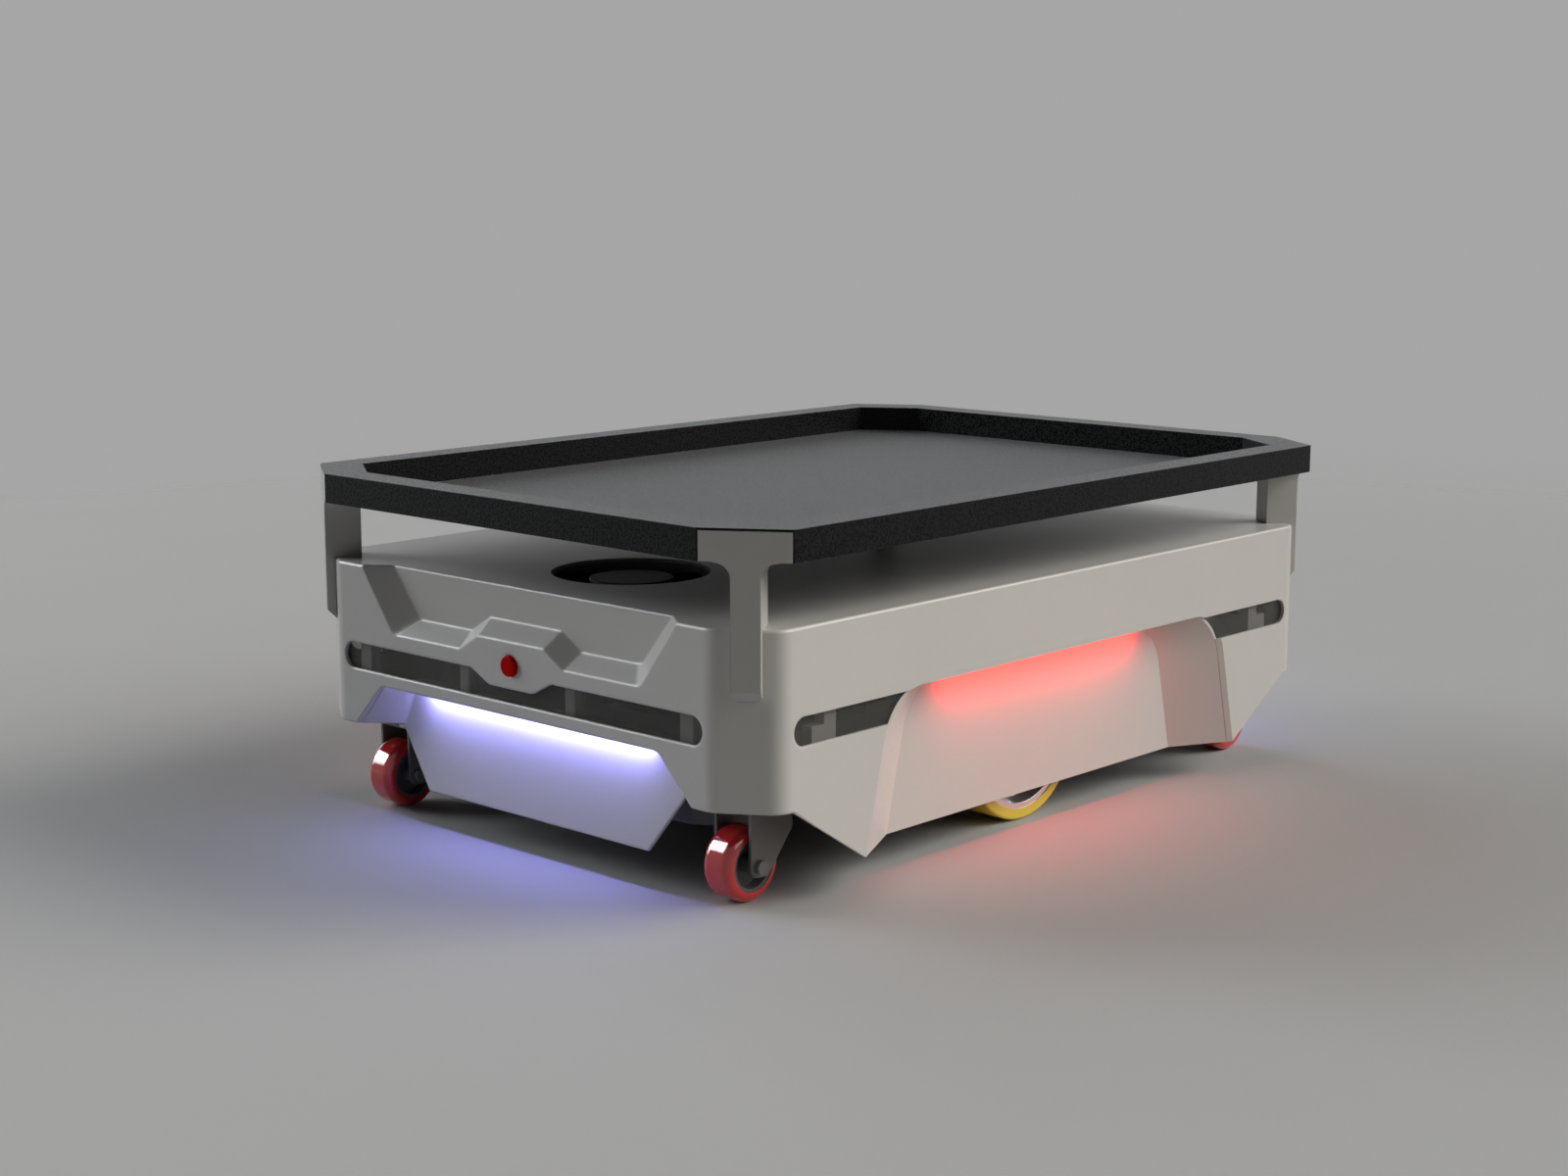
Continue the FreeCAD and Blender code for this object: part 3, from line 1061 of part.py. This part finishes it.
def caster_bolts():
    """Hexagon bolts that hold the four caster plates under the chassis plate."""
    body = new_body("caster_bolts")
    body.AllowCompound = True
    low = PLATE_LOW - S.CasterPlateThickness
    half = S.BoltHeadFlats
    point = half * 2 / math.sqrt(3)
    heads = []
    for spot_x, spot_y in bolt_spots():
        heads.append([(spot_x + point, spot_y), (spot_x + point / 2, spot_y + half),
                      (spot_x - point / 2, spot_y + half), (spot_x - point, spot_y),
                      (spot_x - point / 2, spot_y - half), (spot_x + point / 2, spot_y - half)])
    swept(body, "Pad", draw(body, "bolt_heads", "XY_Plane", heads, lift=low), S.BoltHead, reverse=True)
    shanks = [(spot_x, spot_y, S.BoltRadius) for spot_x, spot_y in bolt_spots()]
    swept(body, "Pad", draw(body, "bolt_shanks", "XY_Plane", discs=shanks, lift=low),
          S.PlateThickness + S.CasterPlateThickness + S.BoltTail)


def battery():
    """The battery case on the tub floor, with a carrying handle recess at each end."""
    length = BATTERY_FRONT - BATTERY_REAR
    case = centred_box("battery_case", ((BATTERY_FRONT + BATTERY_REAR) / 2, 0, TUB_FLOOR),
                       (length, (BAY_Y - S.BatterySideGap) * 2, S.BatteryHeight))
    soft = softened("battery_soft", case, S.CaseRound, upright)
    low = TUB_FLOOR + S.BatteryHeight - S.HandleHeight
    size = (S.HandleDepth * 2, S.HandleWidth, S.HandleHeight * 2)
    grips = fused("battery_grips", [centred_box("battery_grip_front", (BATTERY_FRONT, 0, low), size),
                                    centred_box("battery_grip_rear", (BATTERY_REAR, 0, low), size)])
    keep(cut("battery_cut", soft, grips), "battery_pack")


def controller():
    """The drive controller with cooling fins on top."""
    place_x = CONTROLLER_FRONT - S.ControllerLength / 2
    width = (BAY_Y - S.ControllerSideGap) * 2
    case = centred_box("controller_case", (place_x, 0, TUB_FLOOR),
                       (S.ControllerLength, width, S.ControllerHeight))
    fins = [softened("controller_soft", case, S.CaseRound, upright)]
    fin_size = (S.ControllerLength - S.FinEndInset * 2, S.FinThick, S.FinTall)
    pitch = (width - S.FinEdge * 2) / (S.FinCount - 1)
    for index in range(int(S.FinCount.value)):
        place_y = (index - (S.FinCount - 1) / 2) * pitch
        foot = (place_x, place_y, TUB_FLOOR + S.ControllerHeight)
        fins.append(centred_box("controller_fin_%d" % index, foot, fin_size))
    keep(fused("controller_all", fins), "drive_controller")


def scanner(label, end, side):
    """A corner laser scanner that looks out through the windows."""
    body = new_body(label)
    half_x = BOLT_SPAN_X / 2 - S.ScannerBoltGap
    half_y = BOLT_SPAN_Y / 2 - S.ScannerBoltGap
    base = draw(body, label + "_base", "XY_Plane", [rectangle(-half_x, -half_y, half_x, half_y, S.CaseRound)],
                lift=PLATE_TOP)
    swept(body, "Pad", base, S.ScannerBaseHeight)
    shelf = PLATE_TOP + S.ScannerBaseHeight
    radius = S.ScannerRadius
    neck = radius - S.ScannerNeck
    foot = shelf + S.ScannerStep
    band_low = foot + S.ScannerStep
    band_high = band_low + S.ScannerBand
    cap_low = band_high + S.ScannerStep
    top = cap_low + S.ScannerCap
    head = [(0, shelf - S.Overrun), (radius, shelf - S.Overrun), (radius, foot), (neck, band_low),
            (neck, band_high), (radius, cap_low), (radius, top, S.ScannerRound), (0, top)]
    turned(body, draw(body, label + "_head", "XZ_Plane", [head]))
    place(body, end * CASTER_X, side * CASTER_Y, 0)


def check_and_write():
    """Stops on any failed object, then writes one file for each sub-part."""
    doc.recompute()
    for item in doc.Objects:
        if "Invalid" in item.State or "Error" in item.State:
            raise RuntimeError("failed object: %s %s" % (item.Name, item.State))
    os.makedirs("parts", exist_ok=True)
    for item in parts:
        if item.Shape.isNull() or not item.Shape.isValid() or not item.Shape.Solids:
            raise RuntimeError("bad shape: %s" % item.Label)
        item.Shape.exportStep("parts/%s.step" % item.Label)
    print("sub-parts written: %d" % len(parts))


def build():
    body_shell()
    windows()
    side_apron("left_apron", 1)
    side_apron("right_apron", -1)
    end_apron("front_apron", 1)
    end_apron("rear_apron", -1)
    light_strips()
    tray()
    for name, end, side in QUADRANTS:
        bracket(name, end, side)
    fan()
    stop_button()
    chassis_plate()
    belly_tub()
    drive_unit("left", 1)
    drive_unit("right", -1)
    for name, end, side in QUADRANTS:
        caster(name, end, side)
    caster_bolts()
    battery()
    controller()
    scanner("front_scanner", 1, 1)
    scanner("rear_scanner", -1, -1)
    check_and_write()


build()
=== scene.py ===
import json
import math

import bpy
from mathutils import Matrix, Vector


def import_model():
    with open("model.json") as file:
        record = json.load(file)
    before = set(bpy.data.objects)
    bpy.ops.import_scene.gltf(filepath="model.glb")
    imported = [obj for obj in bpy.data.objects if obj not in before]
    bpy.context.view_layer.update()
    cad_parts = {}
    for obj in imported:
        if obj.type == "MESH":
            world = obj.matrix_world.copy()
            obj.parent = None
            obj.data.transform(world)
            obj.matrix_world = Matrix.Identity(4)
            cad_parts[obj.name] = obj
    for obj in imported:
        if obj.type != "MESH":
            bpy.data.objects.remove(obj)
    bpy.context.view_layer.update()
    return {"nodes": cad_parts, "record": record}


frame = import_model()

# Lengths are in metres, in the robot's own frame: +X forward, +Y to its left, +Z up, floor at 0
CAMERA_PLACE = (2.05825, 1.84279, 0.71360)
# Degrees, of the line from what is looked at back to the camera: yaw from +X, pitch above the floor
CAMERA_YAW = 42.94
CAMERA_PITCH = 10.10
# Both in millimetres
CAMERA_LENS = 55.69
SENSOR_WIDTH = 36.0

# Colours are linear red, green and blue
BACKDROP = (0.381, 0.381, 0.381)
AMBIENT = (0.010, 0.010, 0.010)

FLOOR_ALBEDO = (0.465, 0.465, 0.465)
FLOOR_DARKEST_PART = 0.985
FLOOR_PATCHES = 3.0
FLOOR_ROUGHNESS = 0.75
FLOOR_SPECULAR = 0.15
FLOOR_SIZE = 14.0
# Just below the tyres, so that no face of theirs lies in the floor
FLOOR_HEIGHT = -0.0004
# Distance from the robot's middle where the floor begins to fade, and where the backdrop has replaced it
FLOOR_FADE_START = 1.1
FLOOR_FADE_END = 4.2

WARM = (1.0, 0.970, 0.915)
COOL = (0.94, 0.985, 1.02)
# Soft lamps: yaw from +X, pitch, width in degrees, level on a face turned to it, colour
SOFT_LAMPS = (
    ("key", 135.0, 30.0, 34.0, 0.46, WARM),
    ("key_side", 112.0, 34.0, 50.0, 0.26, WARM),
    ("key_front", 150.0, 34.0, 34.0, 0.17, WARM),
    ("fill", -66.0, 22.0, 30.0, 0.41, COOL),
    ("fill_high", -100.0, 40.0, 40.0, 0.17, COOL),
)
# Lamps that only show in reflections: the bright line on each rounded edge, and the sheen on level faces
GLOSS_LAMPS = (
    ("edge_gloss", -62.0, 33.0, 30.0, 0.62, COOL),
    ("side_gloss", 130.0, 42.0, 16.0, 0.22, WARM),
    ("level_gloss", -104.0, 15.0, 30.0, 0.06, COOL),
)

WHITE_LIGHT = (0.33, 0.33, 1.0)
RED_LIGHT = (1.0, 0.025, 0.018)
WHITE_LIGHT_GAIN = 9.5
RED_LIGHT_GAIN = 3.0
DIFFUSER_PATCHES = 80.0
DIFFUSER_DARKEST_PART = 0.9
DIFFUSER_ROUGHNESS = 0.4

# Light that each bar casts: colour, watts, reach past the bar's ends, and distance out from its middle
WHITE_GLOW = {"colour": WHITE_LIGHT, "power": 0.37, "overhang": -0.010, "outward": 0.0}
RED_GLOW = {"colour": RED_LIGHT, "power": 0.34, "overhang": 0.020, "outward": 0.008}
GLOW_WIDTH = 0.008
GLOW_DROP = 0.001
# Degrees from straight down, in towards the robot
GLOW_TILT = 40.0

GLASS_TINTS = ((0.11, 0.105, 0.095), (0.13, 0.125, 0.115))
GLASS_PATCHES = 9.0
GLASS_ROUGH = (0.05, 0.09)
GLASS_GRAIN = 60.0
GLASS_ALPHA = 0.33

# Most of a noise's values lie between these
NOISE_LOW = 0.3
NOISE_HIGH = 0.7
PATCH_DETAIL = 3.0
GRAIN_DETAIL = 4.0
BUMP_STRENGTH = 0.6
COAT_ROUGHNESS = 0.06
SHEEN_ROUGHNESS = 0.3
EDGE_SAMPLES = 6
# Where along X the edges begin to be rounder, and where they have the front's full radius
FRONT_EDGE_START = 0.40
FRONT_EDGE_END = 0.42


def opaque(colour):
    """The colour with full alpha."""
    return tuple(colour) + (1.0,)


class Nodes:
    """Shorthand for one node tree."""

    def __init__(self, tree):
        self.tree = tree
        tree.nodes.clear()

    def add(self, kind, values=None, **settings):
        """A new node with its settings, and with the values of its unlinked sockets by name."""
        node = self.tree.nodes.new(kind)
        for name, value in settings.items():
            setattr(node, name, value)
        for name, value in (values or {}).items():
            node.inputs[name].default_value = value
        return node

    def link(self, source, target):
        self.tree.links.new(source, target)

    def place(self):
        """Position in the object, in metres."""
        return self.add("ShaderNodeTexCoord").outputs["Object"]

    def noise(self, scale, detail=PATCH_DETAIL):
        """Soft patches, about as many to a metre as the scale says."""
        node = self.add("ShaderNodeTexNoise", {"Scale": scale, "Detail": detail})
        self.link(self.place(), node.inputs["Vector"])
        return node.outputs["Fac"]

    def ramp(self, noise, low, high):
        """A colour between two that follows a noise."""
        node = self.add("ShaderNodeValToRGB")
        first, second = node.color_ramp.elements
        first.position, first.color = NOISE_LOW, opaque(low)
        second.position, second.color = NOISE_HIGH, opaque(high)
        self.link(noise, node.inputs["Fac"])
        return node.outputs["Color"]

    def span(self, factor, low, high, low_at=0.0, high_at=1.0):
        """A number between low and high, as the factor runs between low_at and high_at."""
        ends = {"From Min": low_at, "From Max": high_at, "To Min": low, "To Max": high}
        node = self.add("ShaderNodeMapRange", ends)
        self.link(factor, node.inputs["Value"])
        return node.outputs["Result"]

    def bump(self, height, distance, normal=None):
        node = self.add("ShaderNodeBump", {"Strength": BUMP_STRENGTH, "Distance": distance})
        self.link(height, node.inputs["Height"])
        if normal is not None:
            self.link(normal, node.inputs["Normal"])
        return node.outputs["Normal"]

    def edge(self, radius, front_radius):
        """Softens sharp edges, as a moulding or casting has them, more at the front if it says so."""
        node = self.add("ShaderNodeBevel", {"Radius": radius}, samples=EDGE_SAMPLES)
        if front_radius:
            split = self.add("ShaderNodeSeparateXYZ")
            self.link(self.place(), split.inputs["Vector"])
            along = split.outputs["X"]
            wider = self.span(along, radius, front_radius, FRONT_EDGE_START, FRONT_EDGE_END)
            self.link(wider, node.inputs["Radius"])
        return node.outputs["Normal"]


def new_material(name):
    material = bpy.data.materials.new(name)
    material.use_nodes = True
    return material, Nodes(material.node_tree)


def new_finish(name, values):
    """A material with one shader, and the values of the shader's unlinked sockets."""
    material, nodes = new_material(name)
    shader = nodes.add("ShaderNodeBsdfPrincipled", values)
    output = nodes.add("ShaderNodeOutputMaterial")
    nodes.link(shader.outputs["BSDF"], output.inputs["Surface"])
    return material, nodes, shader


def surface(name, colour, spread, rough, grain, rough_at=(0.0, 1.0), tone=6.0, depth=0.0, edge=0.0,
            front_edge=0.0, metal=0.0, specular=0.5, coat=0.0, coat_ior=1.5, sheen=0.0,
            sheen_tint=(1.0, 1.0, 1.0)):
    """A finish whose colour, gloss and grain vary a little over the surface.

    The colour strays by the spread either way, in patches of the tone's scale. The roughness runs between
    its two values while the grain's noise runs between those of rough_at. The depth is the grain's height,
    and the two edges are radii, all in metres.
    """
    material, nodes, shader = new_finish(name, {
        "Metallic": metal,
        "Specular IOR Level": specular,
        "Coat Weight": coat,
        "Coat Roughness": COAT_ROUGHNESS,
        "Coat IOR": coat_ior,
        "Sheen Weight": sheen,
        "Sheen Roughness": SHEEN_ROUGHNESS,
        "Sheen Tint": opaque(sheen_tint),
    })
    low = [c * (1.0 - spread) for c in colour]
    high = [min(1.0, c * (1.0 + spread)) for c in colour]
    nodes.link(nodes.ramp(nodes.noise(tone), low, high), shader.inputs["Base Color"])
    fine = nodes.noise(grain, GRAIN_DETAIL)
    nodes.link(nodes.span(fine, *rough, *rough_at), shader.inputs["Roughness"])
    normal = nodes.edge(edge, front_edge) if edge else None
    if depth:
        normal = nodes.bump(fine, depth, normal)
    if normal is not None:
        nodes.link(normal, shader.inputs["Normal"])
    return material


def smoked_glass():
    """Dark see-through plastic."""
    material, nodes, shader = new_finish("smoked_glass", {"Alpha": GLASS_ALPHA})
    nodes.link(nodes.ramp(nodes.noise(GLASS_PATCHES), *GLASS_TINTS), shader.inputs["Base Color"])
    nodes.link(nodes.span(nodes.noise(GLASS_GRAIN), *GLASS_ROUGH), shader.inputs["Roughness"])
    return material


def lit_diffuser(name, colour, gain):
    """The cover of a light bar, lit from behind, a little brighter in places."""
    values = {"Roughness": DIFFUSER_ROUGHNESS, "Emission Strength": gain}
    material, nodes, shader = new_finish(name, values)
    dim = [c * DIFFUSER_DARKEST_PART for c in colour]
    for socket in ("Base Color", "Emission Color"):
        nodes.link(nodes.ramp(nodes.noise(DIFFUSER_PATCHES), dim, colour), shader.inputs[socket])
    return material


def finishes():
    """One material for each slot of the record."""
    return {
        "shell_grey_white": surface(
            "shell_paint", (0.61, 0.595, 0.565), spread=0.015, rough=(0.25, 0.32), grain=900.0,
            depth=0.00003, edge=0.001, front_edge=0.004),
        "smoked_window": smoked_glass(),
        "white_blue_light": lit_diffuser("white_blue_lamp", WHITE_LIGHT, WHITE_LIGHT_GAIN),
        "red_light": lit_diffuser("red_lamp", RED_LIGHT, RED_LIGHT_GAIN),
        "tray_charcoal": surface(
            "tray_grain", (0.0035, 0.0036, 0.0041), spread=0.95, rough=(0.12, 0.60), grain=380.0,
            rough_at=(0.38, 0.62), tone=380.0, depth=0.0008, edge=0.001, specular=0.12, sheen=0.45,
            sheen_tint=(0.93, 0.965, 1.0)),
        "bracket_grey": surface(
            "bracket_paint", (0.52, 0.51, 0.48), spread=0.02, rough=(0.26, 0.34), grain=900.0,
            depth=0.00005, edge=0.002),
        "fan_black": surface(
            "fan_plastic", (0.008, 0.008, 0.008), spread=0.1, rough=(0.4, 0.5), grain=500.0,
            depth=0.00005, edge=0.0006),
        "button_red": surface(
            "button_plastic", (0.55, 0.0004, 0.0008), spread=0.05, rough=(0.4, 0.5), grain=300.0,
            edge=0.0015, specular=0.02),
        "switch_black": surface(
            "switch_plastic", (0.015, 0.015, 0.015), spread=0.1, rough=(0.45, 0.55), grain=300.0),
        "chassis_steel": surface(
            "chassis_coat", (0.03, 0.03, 0.03), spread=0.1, rough=(0.5, 0.6), grain=900.0,
            depth=0.0001, edge=0.0008),
        "tub_grey": surface(
            "tub_coat", (0.16, 0.16, 0.155), spread=0.05, rough=(0.45, 0.55), grain=900.0,
            depth=0.0001, edge=0.001),
        "motor_grey": surface(
            "motor_casing", (0.35, 0.35, 0.36), spread=0.05, rough=(0.3, 0.45), grain=500.0, metal=1.0),
        "hub_metal": surface(
            "wheel_metal", (0.80, 0.82, 0.82), spread=0.04, rough=(0.12, 0.2), grain=700.0,
            edge=0.0008, metal=0.85),
        "drive_tread_yellow": surface(
            "drive_tread", (0.74, 0.56, 0.07), spread=0.06, rough=(0.30, 0.42), grain=400.0,
            depth=0.00008),
        "caster_steel": surface(
            "caster_plating", (0.18, 0.177, 0.17), spread=0.08, rough=(0.35, 0.5), grain=700.0,
            depth=0.00004, edge=0.0008, metal=0.3),
        "caster_hub_grey": surface(
            "caster_nylon", (0.11, 0.112, 0.11), spread=0.08, rough=(0.4, 0.55), grain=600.0,
            depth=0.00005, edge=0.0006),
        "caster_tread_red": surface(
            "caster_tread", (0.66, 0.026, 0.026), spread=0.06, rough=(0.10, 0.16), grain=250.0,
            specular=0.3, coat=1.0, coat_ior=1.6),
        "bolt_zinc": surface(
            "bolt_plating", (0.5, 0.5, 0.5), spread=0.06, rough=(0.3, 0.4), grain=700.0, metal=1.0),
        "battery_case": surface(
            "battery_plastic", (0.03, 0.035, 0.04), spread=0.08, rough=(0.5, 0.6), grain=500.0,
            depth=0.0001, edge=0.001),
        "controller_black": surface(
            "controller_anodising", (0.03, 0.03, 0.03), spread=0.08, rough=(0.35, 0.45), grain=500.0,
            metal=0.6),
        "scanner_black": surface(
            "scanner_plastic", (0.012, 0.012, 0.012), spread=0.1, rough=(0.3, 0.4), grain=400.0),
    }


def dress():
    """Gives each CAD piece its finish."""
    made = finishes()
    for entry in frame["record"]["subparts"]:
        piece = frame["nodes"][entry["node"]]
        piece.data.materials.clear()
        piece.data.materials.append(made[entry["material_slot"]])


def new_object(name, data):
    made = bpy.data.objects.new(name, data)
    bpy.context.scene.collection.objects.link(made)
    return made


def turn_to(thing, rotation):
    thing.rotation_mode = "QUATERNION"
    thing.rotation_quaternion = rotation


def from_side(yaw, pitch):
    """Rotation of a lamp or camera that looks in from a yaw and a pitch, in degrees."""
    turn, lift = math.radians(yaw), math.radians(pitch)
    back = Vector((math.cos(turn) * math.cos(lift), math.sin(turn) * math.cos(lift), math.sin(lift)))
    return back.to_track_quat("Z", "Y")


def floor():
    """A plain floor that fades into the backdrop away from the robot."""
    half = FLOOR_SIZE / 2
    corners = [(-half, -half, 0), (half, -half, 0), (half, half, 0), (-half, half, 0)]
    mesh = bpy.data.meshes.new("studio_floor")
    mesh.from_pydata(corners, [], [(0, 1, 2, 3)])
    plane = new_object("studio_floor", mesh)
    plane.location.z = FLOOR_HEIGHT
    material, nodes = new_material("studio_floor")
    output = nodes.add("ShaderNodeOutputMaterial")
    gloss = {"Roughness": FLOOR_ROUGHNESS, "Specular IOR Level": FLOOR_SPECULAR}
    shader = nodes.add("ShaderNodeBsdfPrincipled", gloss)
    low = [c * FLOOR_DARKEST_PART for c in FLOOR_ALBEDO]
    nodes.link(nodes.ramp(nodes.noise(FLOOR_PATCHES), low, FLOOR_ALBEDO), shader.inputs["Base Color"])
    distance = nodes.add("ShaderNodeVectorMath", operation="LENGTH")
    nodes.link(nodes.place(), distance.inputs[0])
    reach = {"From Min": FLOOR_FADE_START, "From Max": FLOOR_FADE_END}
    fade = nodes.add("ShaderNodeMapRange", reach, interpolation_type="SMOOTHSTEP")
    nodes.link(distance.outputs["Value"], fade.inputs["Value"])
    clear = nodes.add("ShaderNodeBsdfTransparent")
    mix = nodes.add("ShaderNodeMixShader")
    nodes.link(fade.outputs["Result"], mix.inputs["Fac"])
    nodes.link(shader.outputs["BSDF"], mix.inputs[1])
    nodes.link(clear.outputs["BSDF"], mix.inputs[2])
    nodes.link(mix.outputs["Shader"], output.inputs["Surface"])
    mesh.materials.append(material)


def world():
    """Faint even light, and the backdrop's grey for the camera and for reflections."""
    scene_world = bpy.data.worlds.new("studio")
    bpy.context.scene.world = scene_world
    scene_world.use_nodes = True
    nodes = Nodes(scene_world.node_tree)
    path = nodes.add("ShaderNodeLightPath")
    seen = nodes.add("ShaderNodeMath", operation="MAXIMUM")
    nodes.link(path.outputs["Is Camera Ray"], seen.inputs[0])
    nodes.link(path.outputs["Is Glossy Ray"], seen.inputs[1])
    soft = nodes.add("ShaderNodeBackground", {"Color": opaque(AMBIENT)})
    plain = nodes.add("ShaderNodeBackground", {"Color": opaque(BACKDROP)})
    mix = nodes.add("ShaderNodeMixShader")
    output = nodes.add("ShaderNodeOutputWorld")
    nodes.link(seen.outputs["Value"], mix.inputs["Fac"])
    nodes.link(soft.outputs["Background"], mix.inputs[1])
    nodes.link(plain.outputs["Background"], mix.inputs[2])
    nodes.link(mix.outputs["Shader"], output.inputs["Surface"])


def soft_lamp(name, yaw, pitch, width, level, colour):
    """A lamp far away, as wide as a softbox looks."""
    data = bpy.data.lights.new(name, "SUN")
    data.angle = math.radians(width)
    data.energy = math.pi * level
    data.color = colour
    light = new_object(name, data)
    turn_to(light, from_side(yaw, pitch))
    return light


def lights():
    for settings in SOFT_LAMPS:
        soft_lamp(*settings)
    for settings in GLOSS_LAMPS:
        soft_lamp(*settings).visible_diffuse = False


def glow(bar, colour, power, overhang, outward):
    """Light of one bar onto the panel behind it, from just below the bar."""
    corners = [bar.matrix_world @ Vector(corner) for corner in bar.bound_box]
    low = Vector([min(c[axis] for c in corners) for axis in range(3)])
    high = Vector([max(c[axis] for c in corners) for axis in range(3)])
    middle = (low + high) / 2
    data = bpy.data.lights.new(bar.name + "_glow", "AREA")
    data.shape = "RECTANGLE"
    data.size = max(high.x - low.x, high.y - low.y) + overhang * 2
    data.size_y = GLOW_WIDTH
    data.energy = power
    data.color = colour
    light = new_object(bar.name + "_glow", data)
    inward = Vector((-middle.x, -middle.y, 0)).normalized()
    light.location = Vector((middle.x, middle.y, low.z - GLOW_DROP)) - inward * outward
    tilt = math.radians(GLOW_TILT)
    shine = inward * math.sin(tilt) - Vector((0, 0, math.cos(tilt)))
    across = inward.cross(Vector((0, 0, 1)))
    turn = Matrix((across, across.cross(shine), -shine)).transposed()
    turn_to(light, turn.to_quaternion())


def glows():
    for name in ("front_light", "rear_light"):
        glow(frame["nodes"][name], **WHITE_GLOW)
    for name in ("left_light", "right_light"):
        glow(frame["nodes"][name], **RED_GLOW)


def camera():
    data = bpy.data.cameras.new("camera")
    data.sensor_width = SENSOR_WIDTH
    data.lens = CAMERA_LENS
    eye = new_object("camera", data)
    eye.location = CAMERA_PLACE
    turn_to(eye, from_side(CAMERA_YAW, CAMERA_PITCH))
    bpy.context.scene.camera = eye


bpy.context.scene.view_settings.view_transform = "Standard"
dress()
floor()
world()
lights()
glows()
camera()
